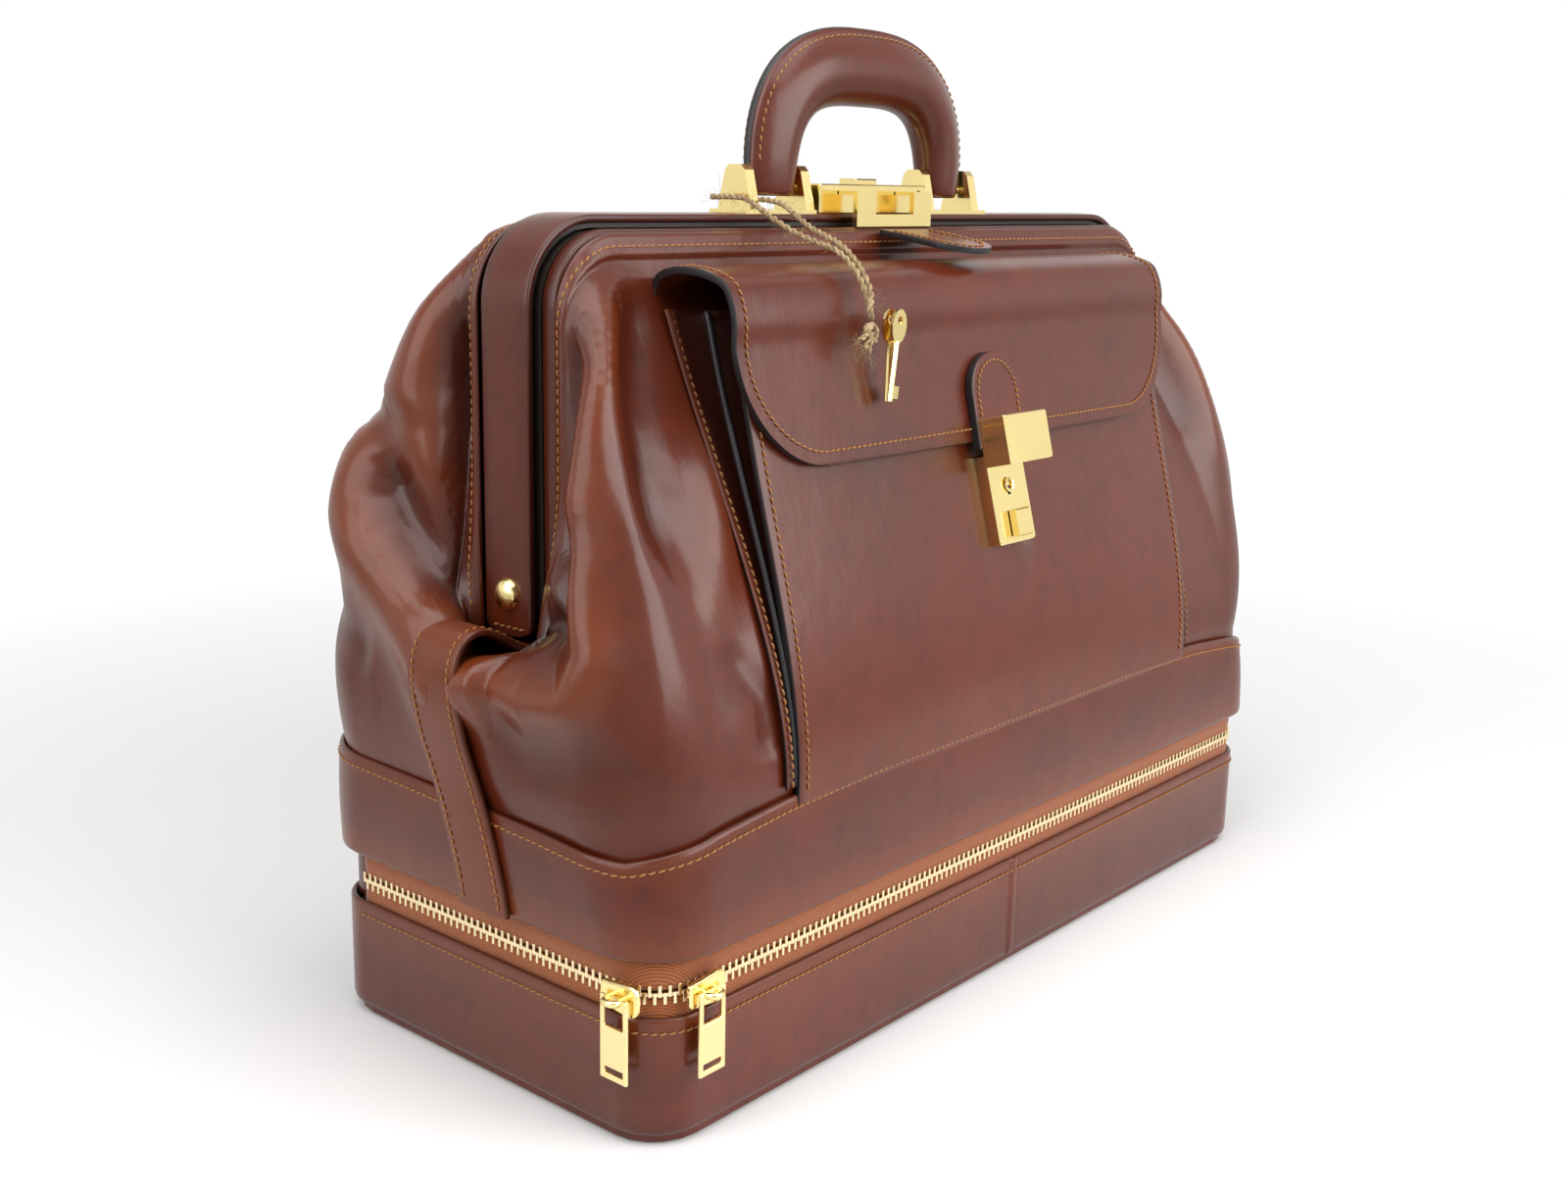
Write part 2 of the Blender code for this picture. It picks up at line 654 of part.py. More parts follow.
def flap_sheet(name, inner, outer):
    loops = []
    for (iy, iz), (oy, oz) in zip(inner, outer):
        above = max(0.0, FLAP_CORNER - (iz - FLAP_LOW))
        half = FLAP_HALF - (FLAP_CORNER - math.sqrt(max(0.0, FLAP_CORNER**2 - above**2))) * 0.98
        loops.append([Vector((POCKET_X - half, iy, iz)), Vector((POCKET_X + half, iy, iz)),
                      Vector((POCKET_X + half, oy, oz)), Vector((POCKET_X - half, oy, oz))])
    loft(name, loops, "leather")


def flap():
    flap_sheet("flap_fold", fold_line(0.0), fold_line(FLAP_THICK))
    flap_sheet("pocket_flap", flap_line(0.0), flap_line(FLAP_THICK))


LOCK_CENTRE_X = POCKET_X


def on_face(z0, off):
    """A frame on the pocket's face at height z0: place(across, up, out) leans with the face."""
    top, low = pocket_face(z0 + 0.015), pocket_face(z0 - 0.015)
    up = Vector((0, top - low, 0.030)).normalized()
    out = Vector((0, -up.z, up.y))
    origin = Vector((LOCK_CENTRE_X, pocket_face(z0), z0)) + out * off
    return lambda a, b, c: origin + Vector((a, 0, 0)) + up * b + out * c


def rounded_outline(half_x, low, high, radius, steps=3):
    return [(x, low + (high - low) / 2 + y) for x, y in rounded(half_x, (high - low) / 2, radius, steps)]


LOCK_Z = 0.1960


def pocket_lock():
    place = on_face(LOCK_Z, GAP)
    plate = slab("pocket_lock_case", rounded_outline(0.0125, -0.0190, 0.0170, 0.0012), place, 0.0060, "brass",
                 0.0005)
    recess = slab("slide_recess", [(-0.0095, -0.0170), (0.0105, -0.0170), (0.0105, -0.0060),
                                   (-0.0095, -0.0060)],
                  lambda a, b, c: place(a, b, c + 0.0030), 0.0060, "brass")
    key_hole = rod("key_bore", place(-0.001, 0.0040, 0.0020), place(-0.001, 0.0040, 0.0090), 0.0030, "brass",
                   16)
    cut(plate, recess, key_hole)
    rod("pocket_lock_barrel", place(-0.001, 0.0040, 0.0024), place(-0.001, 0.0040, 0.0062), 0.0030 - GAP,
        "brass", 16)
    slab("pocket_lock_slide", [(0.0005, -0.0166), (0.0101, -0.0166), (0.0101, -0.0064), (0.0005, -0.0064)],
         lambda a, b, c: place(a, b, c + 0.0034), 0.0034, "brass", 0.0004)


def flap_brass():
    """The tongue on the flap and the square hasp that covers the lock's head."""
    thick = 0.0026
    place = on_face(0.2330, 0.0012 + thick + GAP)
    half = 0.0165
    outline = [(-half, -0.0190), (half, -0.0190), (half, 0.0020)]
    outline += arc((0, 0.0020), half, 0, 180, 8)[1:-1]
    outline += [(-half, 0.0020)]
    slab("flap_tongue", outline, place, 0.0026, "leather", 0.0003)
    place = on_face(0.2180, 0.0012 + thick + GAP + 0.0026 + GAP)
    slab("flap_hasp", rounded_outline(0.0150, -0.0110, 0.0080, 0.0008), place, 0.0120, "brass", 0.0004)


# ---- Straps on the ends, the zip's sliders, twine and keys -----------------------------------------------
STRAP_HALF = 0.0125
STRAP_THICK = 0.0024
STRAP_CENTRE = (0.190, 0.122)  # X and Z that the strap's curve is measured from
STRAP_FOLD = 5  # the place on the strap's line where the part that rises with the frame begins


def strap_reach(angle):
    """How far the body's leather reaches under the strap at an angle round STRAP_CENTRE, in X and Z."""
    reach = 0.0
    for side in (-1, 1):
        for u in (0.0, 0.01, 0.02, 0.03, 0.04, 0.05, 0.06):
            last = None
            for j in range(41):
                p = body_point(u, j / 40, side)
                across, up = -p.x - STRAP_CENTRE[0], p.z - STRAP_CENTRE[1]
                here = (math.atan2(up, across), math.hypot(across, up))
                if last and abs(p.y) < STRAP_HALF + 0.002 and (last[0] - angle) * (here[0] - angle) <= 0:
                    reach = max(reach, last[1], here[1])
                last = here
    return reach


def end_straps():
    line = [(BAND_LOW_HALF[0] + 0.0010, BAND_LOW), (BAND_TOP_HALF[0] + 0.0010, BAND_TOP_END)]
    for degrees in (-12, 2, 16, 30, 42, 54, 64):
        angle = math.radians(degrees)
        reach = strap_reach(angle) + 0.0012
        line.append((STRAP_CENTRE[0] + reach * math.cos(angle), STRAP_CENTRE[1] + reach * math.sin(angle)))
    line.append((FRAME_HALF + 0.0030, RIVET_Z - 0.0115))
    sections = []
    for i, (x, z) in enumerate(line):
        ahead, behind = line[min(i + 1, len(line) - 1)], line[max(i - 1, 0)]
        along = Vector((ahead[0] - behind[0], ahead[1] - behind[1])).normalized()
        sections.append((Vector((x, z)), along))
    place, along = sections[STRAP_FOLD]
    upper = [(place + along * GAP, along)] + sections[STRAP_FOLD + 1:]
    for hand, label in ((-1, "left"), (1, "right")):
        strap_part("end_strap_" + label, hand, sections[:STRAP_FOLD + 1])
        strap_part("end_fold_" + label, hand, upper)


def strap_part(name, hand, sections):
    """A stretch of an end strap through sections of (place, direction) in X and Z."""
    loops = []
    for place, along in sections:
        out = place + Vector((along.y, -along.x)) * STRAP_THICK
        corners = ((place, -STRAP_HALF), (place, STRAP_HALF), (out, STRAP_HALF), (out, -STRAP_HALF))
        loops.append([Vector((hand * at.x, y, at.y)) for at, y in corners])
    loft(name, loops, "leather")


SLIDER_LEFT_Y = -0.0735
SLIDER_RIGHT_X = -0.1880


PULL_AXIS_OUT = 0.0046  # the pull's bar, out from the tray's wall


def zip_slider(label, centre, along, out):
    """A slider's front plate with a bar on two posts, and the pull that is rolled round the bar."""
    up = Vector((0, 0, 1))

    def place(a, b, c):
        return centre + along * a + up * b + out * c

    body = [(-0.0085, -0.0048), (0.0050, -0.0052), (0.0085, -0.0034), (0.0085, 0.0034), (0.0050, 0.0052),
            (-0.0085, 0.0048)]
    slider = slab("zip_slider_" + label, body, lambda a, b, c: place(a, b, c + 0.0008), 0.0016, "brass",
                  0.0004)
    posts = []
    for low, high in ((-0.0064, -0.0046), (0.0046, 0.0064)):
        outline = [(low, -0.0014), (high, -0.0014), (high, 0.0014), (low, 0.0014)]
        posts.append(slab("post", outline, lambda a, b, c: place(a, b, c + 0.0020), 0.0036, "brass"))
    posts.append(rod("bar", place(-0.0055, 0, PULL_AXIS_OUT), place(0.0055, 0, PULL_AXIS_OUT), 0.0009,
                     "brass", 12))
    union(slider, *posts)
    half = 0.0060
    thick = 0.0013
    outline = [(-half, -0.0290), (half, -0.0290), (half, -0.0046), (0.0036, -0.0026), (0.0036, 0.0),
               (-0.0036, 0.0),
               (-0.0036, -0.0026), (-half, -0.0046)]
    pull = slab("zip_pull_" + label, outline, lambda a, b, c: place(a, b, c + PULL_AXIS_OUT - thick / 2),
                thick, "brass")
    knuckle = rod("knuckle", place(-0.0038, 0, PULL_AXIS_OUT), place(0.0038, 0, PULL_AXIS_OUT), 0.0019,
                  "brass", 12)
    union(pull, knuckle)
    slot = [(-0.0036, -0.0268), (0.0036, -0.0268), (0.0036, -0.0246), (-0.0036, -0.0246)]
    slot_cutter = slab("pull_slot", slot, lambda a, b, c: place(a, b, c + PULL_AXIS_OUT - 0.002), 0.0040,
                       "brass")
    bore = rod("pull_bore", place(-0.0060, 0, PULL_AXIS_OUT), place(0.0060, 0, PULL_AXIS_OUT), 0.0012,
               "brass", 12)
    cut(pull, slot_cutter, bore)


def zip_sliders():
    left = Vector((-HALF_LENGTH, SLIDER_LEFT_Y, ZIP_Z))
    right = Vector((SLIDER_RIGHT_X, -HALF_DEPTH, ZIP_Z))
    zip_slider("left", left, Vector((0, -1, 0)), Vector((-1, 0, 0)))
    zip_slider("right", right, Vector((1, 0, 0)), Vector((0, -1, 0)))


# ---- The twine with its two keys --------------------------------------------------------------------
TWINE = 0.0020
KNOT = Vector((-0.0880, -0.0735, 0.2640))
TWINE_ROUTE = (
    (-0.0860, -0.0722, 0.2685), (-0.0862, -0.0700, 0.2760), (-0.0868, -0.0650, 0.2850),
               (-0.0870, -0.0570, 0.2915),
    (-0.0870, -0.0470, 0.2945), (-0.0872, -0.0370, 0.2975), (-0.0875, -0.0270, 0.3020),
               (-0.0868, -0.0180, 0.3065),
    (-0.0850, -0.0100, 0.3092), (-0.0838, 0.0000, 0.3096), (-0.0820, 0.0085, 0.3094),
               (-0.0770, 0.0118, 0.3092),
    (-0.0725, 0.0085, 0.3090), (-0.0714, 0.0000, 0.3088), (-0.0716, -0.0095, 0.3086),
               (-0.0730, -0.0185, 0.3072),
    (-0.0752, -0.0275, 0.3030), (-0.0775, -0.0370, 0.2988), (-0.0800, -0.0470, 0.2960),
               (-0.0825, -0.0565, 0.2925),
    (-0.0843, -0.0650, 0.2860), (-0.0850, -0.0705, 0.2780), (-0.0890, -0.0735, 0.2712),
)


def smooth_route(points, spacing):
    """Points at even spacing on a smooth curve through the route."""
    pts = [Vector(p) for p in points]
    pts = [pts[0] * 2 - pts[1]] + pts + [pts[-1] * 2 - pts[-2]]
    fine = []
    for a, b, c, d in zip(pts, pts[1:], pts[2:], pts[3:]):
        for i in range(16):
            t = i / 16
            fine.append(((b * 2) + (c - a) * t + (a * 2 - b * 5 + c * 4 - d) * t * t
                         + (b * 3 - a - c * 3 + d) * t**3) / 2)
    fine.append(pts[-2])
    total = sum((b - a).length for a, b in zip(fine, fine[1:]))
    count = max(2, round(total / spacing))
    out, run, want = [fine[0]], 0.0, total / count
    for a, b in zip(fine, fine[1:]):
        length = (b - a).length
        while run + length >= want * len(out) - 1e-9 and len(out) < count:
            out.append(a.lerp(b, (want * len(out) - run) / length))
        run += length
    out.append(fine[-1])
    return out


def twine_and_keys():
    curve = bpy.data.curves.new("twine", "CURVE")
    curve.dimensions = "3D"
    curve.bevel_depth = TWINE / 2
    curve.bevel_resolution = 2
    curve.use_fill_caps = True
    points = smooth_route(TWINE_ROUTE, TWINE * 2.2)
    spline = curve.splines.new("POLY")
    spline.points.add(len(points) - 1)
    for place, p in zip(spline.points, points):
        place.co = (*p, 1.0)
    curve.materials.append(material("twine"))
    obj = bpy.data.objects.new("twine", curve)
    bpy.context.scene.collection.objects.link(obj)
    bm = bmesh.new()
    bmesh.ops.create_icosphere(bm, subdivisions=2, radius=0.0046)
    for v in bm.verts:
        v.co = KNOT + Vector((v.co.x * 1.2, v.co.y * 0.75, v.co.z * 0.75))
    add("twine_knot", bm, "twine", smooth=True)
    for number, across, out, tilt in ((1, 0.0150, -0.0014, -0.14), (2, 0.0130, 0.0014, -0.02)):
        key(number, KNOT + Vector((across, out, 0.0080)), tilt)


def key(number, top, tilt):
    """A small flat key: an oval bow with a hole, and a round shank with a bit at its end."""
    up = Vector((-math.sin(tilt), 0, math.cos(tilt)))
    across = Vector((math.cos(tilt), 0, math.sin(tilt)))

    def place(a, b, c):
        return top + across * a + up * b + Vector((0, c, 0))

    bow_outline = [(0.0042 * math.cos(a), -0.0062 + 0.0062 * math.sin(a))
                   for a in [2 * math.pi * i / 14 for i in range(14)]]
    bow = slab("key_%d" % number, bow_outline, lambda a, b, c: place(a, b, c - 0.0006), 0.0012, "brass")
    hole = rod("bow_hole", place(0, -0.0040, -0.004), place(0, -0.0040, 0.004), 0.0014, "brass", 12)
    shank = rod("shank", place(0, -0.0115, 0), place(0, -0.0330, 0), 0.0011, "brass", 8)
    bit = slab("bit", [(0.0, -0.0320), (0.0040, -0.0320), (0.0040, -0.0275), (0.0, -0.0275)],
               lambda a, b, c: place(a, b, c - 0.0005), 0.0010, "brass")
    union(bow, shank, bit)
    cut(bow, hole)


# ---- Where the moving pieces turn -------------------------------------------------------------------------
def hang(point, *names):
    """Puts the origins of pieces on their joint's axis, and leaves the pieces where they are."""
    for name in names:
        obj = bpy.data.objects[name]
        obj.data.transform(Matrix.Translation(-Vector(point)))
        obj.location = point


def hang_on_joints():
    tilt_front = (0, FRONT_TOP[0], FRONT_TOP[1])
    hang(tilt_front, "front_frame_steel", "front_frame_cover", "top_hasp", "hinge_plate_left",
         "hinge_plate_right")
    hang((0, REAR_TOP[0], REAR_TOP[1]), "rear_frame_cover", "rear_frame_steel", "rivet_left", "rivet_right",
         "handle_bracket_left", "handle_bracket_right", "handle_pin_left", "handle_pin_right", "lock_case")
    hang((0, -BAND_TOP_HALF[1] + 0.0034, PANEL_FOOT), "front_leather", "pocket_front", "pocket_gusset_left",
         "pocket_gusset_right", "flap_fold", "pocket_lock_case", "twine")
    hang((0, BAND_TOP_HALF[1] + 0.0006, PANEL_FOOT), "rear_leather")
    hang((0, HALF_DEPTH - 0.0007, ZIP_Z - 0.0003), "body_band", "divider_board", "zip_tape_upper",
         "zip_teeth_upper",
         "end_strap_left", "end_strap_right")
    hang((0, PULL_ROOT[0], PULL_ROOT[1]), "pull_tab")
    hang(at_hardware(0, 0, PIN_Z), "handle_grip", "handle_welt")
    top = POCKET_TOP + 0.0165 - FOLD_DROP - GAP
    hang((0, pocket_face(top) - 0.0012 - FLAP_THICK, top), "pocket_flap", "flap_tongue", "flap_hasp",
         "twine_knot",
         "key_1", "key_2")
    hang((-HALF_LENGTH - PULL_AXIS_OUT, SLIDER_LEFT_Y, ZIP_Z), "zip_pull_left")
    hang((SLIDER_RIGHT_X, -HALF_DEPTH - PULL_AXIS_OUT, ZIP_Z), "zip_pull_right")
    hang(on_face(LOCK_Z, GAP)(-0.001, 0.0040, 0.0062), "pocket_lock_barrel")
    hang(at_hardware(0.0290, LOCK_Y[0], 0.3100), "lock_barrel")


def main():
    for obj in list(bpy.data.objects):
        bpy.data.objects.remove(obj)
    tray()
    band()
    body_leather("front_leather", -1)
    body_leather("rear_leather", 1)
    frames()
    brackets()
    handle()
    top_lock()
    pocket()
    flap()
    pocket_lock()
    flap_brass()
    end_straps()
    zip_sliders()
    twine_and_keys()
    hang_on_joints()


main()
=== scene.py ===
"""The doctor bag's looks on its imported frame. Metres, +Z up, the front faces -Y, the floor is Z = 0."""

import math

import bmesh
import bpy
import numpy as np
from mathutils import Matrix, Vector


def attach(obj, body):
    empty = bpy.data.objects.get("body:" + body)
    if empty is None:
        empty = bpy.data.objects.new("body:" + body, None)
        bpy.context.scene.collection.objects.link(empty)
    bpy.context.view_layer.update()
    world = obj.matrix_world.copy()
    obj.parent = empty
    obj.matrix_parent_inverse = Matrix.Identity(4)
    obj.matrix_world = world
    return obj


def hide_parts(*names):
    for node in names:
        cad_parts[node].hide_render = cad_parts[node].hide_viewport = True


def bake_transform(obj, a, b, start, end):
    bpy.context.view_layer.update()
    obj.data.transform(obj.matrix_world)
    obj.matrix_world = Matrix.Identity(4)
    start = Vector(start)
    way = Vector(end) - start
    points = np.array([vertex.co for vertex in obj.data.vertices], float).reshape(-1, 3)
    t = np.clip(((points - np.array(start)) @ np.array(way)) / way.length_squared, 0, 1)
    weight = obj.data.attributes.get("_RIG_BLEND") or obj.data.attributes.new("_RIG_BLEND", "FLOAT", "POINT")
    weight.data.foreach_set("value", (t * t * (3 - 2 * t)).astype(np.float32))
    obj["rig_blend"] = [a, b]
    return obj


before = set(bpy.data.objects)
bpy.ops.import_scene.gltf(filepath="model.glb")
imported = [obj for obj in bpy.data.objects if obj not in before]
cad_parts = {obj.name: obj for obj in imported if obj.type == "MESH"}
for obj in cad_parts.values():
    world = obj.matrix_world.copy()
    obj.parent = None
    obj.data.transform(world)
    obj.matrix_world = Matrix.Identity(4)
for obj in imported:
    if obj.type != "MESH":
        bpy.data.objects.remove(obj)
scene = bpy.context.scene
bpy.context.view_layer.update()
rng = np.random.default_rng(7)

# ---- Sizes shared with the CAD part --------------------------------------------------------------
GAP = 0.0004
HARDWARE_X = -0.0045
HALF_LENGTH, HALF_DEPTH, CORNER = 0.2095, 0.0885, 0.020
TRAY_TOP, ZIP_Z, ZIP_TAPE_TOP = 0.046, 0.0538, 0.068
BAND_LOW, BAND_TOP_FRONT, BAND_TOP_END = 0.0665, 0.112, 0.105
BAND_LOW_HALF, BAND_TOP_HALF, BAND_SHIFT = (0.2125, 0.0915), (0.2150, 0.0910), 0.0020
SEAM_CORNER, SEAM_IN, PANEL_FOOT = 0.034, 0.0014, 0.1126
RIVET_Z = 0.1745
FRAME_HALF, FRAME_TOP, FRAME_LOW, FRAME_CORNER = 0.1930, 0.3030, 0.1600, 0.030
FRONT_TOP, REAR_TOP, LEATHER_LOW = (-0.0198, 0.2975), (0.0140, 0.3020), 0.1600
FLAP_ROUND = 0.042  # radius of the flap's lower corners
POCKET_X, POCKET_HALF, POCKET_LOW, POCKET_TOP, POCKET_DEPTH = -0.0050, 0.1370, 0.1160, 0.2680, 0.0270
FLAP_HALF, FLAP_THICK, FLAP_LOW = 0.1430, 0.0026, 0.2190


# ---- Camera --------------------------------------------------------------------------------------
def make_camera():
    yaw, pitch, roll = (math.radians(a) for a in (49.776, 13.164, 1.228))
    forward = Vector((math.sin(yaw) * math.cos(pitch), math.cos(yaw) * math.cos(pitch), -math.sin(pitch)))
    right = Vector((math.cos(yaw), -math.sin(yaw), 0))
    up = right.cross(forward)
    r = right * math.cos(roll) + up * math.sin(roll)
    u = up * math.cos(roll) - right * math.sin(roll)
    data = bpy.data.cameras.new("camera")
    data.lens, data.sensor_width, data.sensor_fit = 40.623, 36.0, "HORIZONTAL"
    data.clip_start, data.clip_end = 0.01, 10.0
    camera = bpy.data.objects.new("camera", data)
    turn = Matrix((r, u, -forward)).transposed().to_4x4()
    camera.matrix_world = Matrix.Translation((-0.58698, -0.45793, 0.31530)) @ turn
    scene.collection.objects.link(camera)
    scene.camera = camera


make_camera()


# ---- Materials -----------------------------------------------------------------------------------
class Shader:
    """A Principled material and short ways of adding nodes to it."""

    def __init__(self, name, colour, roughness, metallic=0.0):
        self.material = bpy.data.materials.new(name)
        self.material.use_nodes = True
        self.tree = self.material.node_tree
        self.principled = self.tree.nodes["Principled BSDF"]
        self.set("Base Color", (*colour, 1.0))
        self.set("Roughness", roughness)
        self.set("Metallic", metallic)
        self.place = self.node("ShaderNodeTexCoord").outputs["Object"]

    def set(self, socket, value):
        self.principled.inputs[socket].default_value = value

    def node(self, kind, **values):
        made = self.tree.nodes.new(kind)
        for key, value in values.items():
            if key in made.inputs:
                made.inputs[key].default_value = value
            else:
                setattr(made, key, value)
        return made

    def link(self, output, target):
        self.tree.links.new(output, target)

    def noise(self, scale, detail=3.0, stretch=None, roughness=0.5):
        made = self.node("ShaderNodeTexNoise", Scale=scale, Detail=detail, Roughness=roughness)
        if stretch:
            mapping = self.node("ShaderNodeMapping")
            mapping.inputs["Scale"].default_value = stretch
            self.link(self.place, mapping.inputs["Vector"])
            self.link(mapping.outputs["Vector"], made.inputs["Vector"])
        else:
            self.link(self.place, made.inputs["Vector"])
        return made.outputs["Fac"]

    def span(self, value, low, high, a=0.0, b=1.0):
        made = self.node("ShaderNodeMapRange")
        for key, number in (("From Min", low), ("From Max", high), ("To Min", a), ("To Max", b)):
            made.inputs[key].default_value = number
        self.link(value, made.inputs["Value"])
        return made.outputs["Result"]

    def mix(self, share, a, b):
        made = self.node("ShaderNodeMix", data_type="RGBA")
        self.link(share, made.inputs[0])
        for socket, value in ((made.inputs[6], a), (made.inputs[7], b)):
            if isinstance(value, tuple):
                socket.default_value = (*value, 1.0)
            else:
                self.link(value, socket)
        return made.outputs[2]

    def attribute(self, name):
        return self.node("ShaderNodeAttribute", attribute_name=name).outputs["Fac"]

    def bump(self, height, strength, distance, before=None):
        made = self.node("ShaderNodeBump", Strength=strength, Distance=distance)
        self.link(height, made.inputs["Height"])
        if before:
            self.link(before, made.inputs["Normal"])
        return made.outputs["Normal"]


def leather_material(name, colour, dark, warm, roughness=0.33, coat=0.32):
    """Polished leather: broad tone changes, dark and warm places from attributes (painted shade and painted
    highlights in some places, darker edges and tints in others), and fine creases.
    """
    s = Shader(name, colour, roughness)
    tone = s.span(s.noise(9.0, 4.0), 0.35, 0.68)
    base = s.mix(tone, colour, tuple(c * 0.72 for c in colour))
    mottle = s.span(s.noise(95.0, 5.0, roughness=0.65), 0.48, 0.70, 0.0, 0.30)
    base = s.mix(mottle, base, dark)
    # Warm attribute: painted highlights on fold crests, plus warm tints. Dark attribute: painted shade in fold
    # valleys, along the frame and in the pocket's bellows, plus darker edges.
    base = s.mix(s.attribute("warm"), base, warm)
    base = s.mix(s.attribute("dark"), base, dark)
    s.link(base, s.principled.inputs["Base Color"])
    creases = s.noise(240.0, 6.0, (1.0, 1.0, 0.45), 0.62)
    normal = s.bump(creases, 0.16, 0.0006)
    normal = s.bump(s.noise(1400.0, 2.0), 0.08, 0.0002, normal)
    normal = s.bump(s.noise(28.0, 2.0), 0.30, 0.0018, normal)
    s.link(normal, s.principled.inputs["Normal"])
    s.set("Specular IOR Level", 0.30)
    s.set("Coat Weight", coat)
    s.set("Coat Roughness", 0.17)
    s.link(normal, s.principled.inputs["Coat Normal"])
    return s.material


# DARK and WARM are also the painted shade and painted highlight colours that the dark and warm attributes mix in.
BROWN, DARK, WARM = (0.128, 0.0205, 0.0062), (0.022, 0.0045, 0.003), (0.290, 0.068, 0.014)
LEATHER = leather_material("leather", BROWN, DARK, WARM)
LEATHER_TRIM = leather_material("leather_trim", (0.138, 0.0260, 0.0088), DARK, WARM, 0.36, 0.25)


def plain(name, colour, roughness, metallic=0.0, grain=0.0, grain_scale=600.0):
    s = Shader(name, colour, roughness, metallic)
    if grain:
        s.link(s.bump(s.noise(grain_scale, 4.0), grain, 0.0004), s.principled.inputs["Normal"])
    return s


EDGE = plain("painted_edge", (0.011, 0.010, 0.012), 0.42, grain=0.3).material
BRASS_SHADER = plain("polished_brass", (0.98, 0.80, 0.36), 0.13, 1.0, 0.02, 900.0)
BRASS_TONE = BRASS_SHADER.span(BRASS_SHADER.noise(60.0, 4.0), 0.3, 0.7, 0.10, 0.20)
BRASS_SHADER.link(BRASS_TONE, BRASS_SHADER.principled.inputs["Roughness"])
BRASS = BRASS_SHADER.material
SATIN = plain("satin_brass", (0.98, 0.80, 0.40), 0.28, 1.0, 0.05).material
TEETH = plain("tooth_brass", (0.92, 0.78, 0.50), 0.26, 1.0, 0.05).material
STEEL = plain("lacquered_steel", (0.022, 0.014, 0.011), 0.5, 0.0, 0.1).material
THREAD = plain("thread", (0.36, 0.155, 0.042), 0.62, grain=0.5, grain_scale=2500.0).material
LINING = plain("cotton_lining", (0.30, 0.21, 0.12), 0.95, grain=0.5, grain_scale=1500.0).material
BOARD = plain("lined_board", (0.20, 0.13, 0.08), 0.95, grain=0.5, grain_scale=1500.0).material
# Painted shade: a near-black material for the sheet that stands for the inside of the keyhole.
KEYHOLE_SHADE = plain("keyhole_painted_shade", (0.004, 0.003, 0.003), 0.8, grain=0.05).material


def tape_material():
    s = Shader("zip_tape", (0.40, 0.105, 0.022), 0.85)
    wave = s.node("ShaderNodeTexWave", Scale=520.0, Distortion=1.5, bands_direction="DIAGONAL")
    s.link(s.place, wave.inputs["Vector"])
    weave = wave.outputs["Fac"]
    s.link(s.mix(s.span(weave, 0.2, 0.8), (0.46, 0.125, 0.028), (0.25, 0.060, 0.012)),
           s.principled.inputs["Base Color"])
    s.link(s.bump(weave, 0.6, 0.0004), s.principled.inputs["Normal"])
    s.set("Sheen Weight", 0.4)
    return s.material


def twine_material():
    s = Shader("jute", (0.50, 0.37, 0.20), 0.95)
    tone = s.span(s.noise(500.0, 4.0), 0.35, 0.65)
    s.link(s.mix(tone, (0.56, 0.42, 0.235), (0.30, 0.20, 0.10)), s.principled.inputs["Base Color"])
    s.link(s.bump(s.noise(2500.0, 3.0), 0.6, 0.0004), s.principled.inputs["Normal"])
    return s.material


TAPE, JUTE = tape_material(), twine_material()


# ---- Meshes --------------------------------------------------------------------------------------
def piece(name, points, faces, *materials, smooth=True, face_material=None, sharp=40):
    """A mesh from points and faces, linked to the scene."""
    mesh = bpy.data.meshes.new(name)
    mesh.from_pydata([tuple(map(float, p)) for p in points], [], [tuple(map(int, f)) for f in faces])
    for m in materials:
        mesh.materials.append(m)
    if face_material is not None:
        mesh.polygons.foreach_set("material_index", np.asarray(face_material, np.int32))
    if smooth:
        mesh.shade_smooth()
        if sharp:
            mesh.set_sharp_from_angle(angle=math.radians(sharp))
    mesh.validate()
    obj = bpy.data.objects.new(name, mesh)
    scene.collection.objects.link(obj)
    return obj


def attribute(obj, name, values):
    made = obj.data.attributes.get(name) or obj.data.attributes.new(name, "FLOAT", "POINT")
    made.data.foreach_set("value", np.asarray(values, np.float32).ravel())


def tones(obj, dark, warm=0.0):
    """The leather's dark and warm places, each as one number or as one for each point: painted shade and painted
    highlights in some pieces, darker edges and tints in others.
    """
    for name, values in (("dark", dark), ("warm", warm)):
        attribute(obj, name, np.broadcast_to(np.ravel(values), len(obj.data.vertices)))


def grid_faces(rows, columns, ring=False):
    faces = []
    for i in range(rows if ring else rows - 1):
        k = (i + 1) % rows
        for j in range(columns - 1):
            faces.append((i * columns + j, k * columns + j, k * columns + j + 1, i * columns + j + 1))
    return faces


def swept_faces(count, n):
    """Faces of a closed section of n points swept over count stations, with a cap at each end."""
    faces = [(i * n + k, i * n + (k + 1) % n, (i + 1) * n + (k + 1) % n, (i + 1) * n + k)
             for i in range(count - 1) for k in range(n)]
    return faces + [list(range(n))[::-1], [(count - 1) * n + k for k in range(n)]]


def solidify(obj, thick, rim=0, offset=-1.0):
    made = obj.modifiers.new("thickness", "SOLIDIFY")
    made.thickness, made.offset = thick, offset
    made.material_offset_rim = rim
    return obj


def bevel(obj, width, segments=2, angle=35):
    made = obj.modifiers.new("rounding", "BEVEL")
    made.width, made.segments, made.limit_method = width, segments, "ANGLE"
    made.angle_limit = math.radians(angle)
    made.harden_normals = False
    return obj


def put(obj, body, slot, *nodes):
    """Rides on the body and stands for the CAD nodes, which it hides; slot is not used."""
    if nodes:
        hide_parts(*nodes)
    if body:
        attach(obj, body)
    return obj


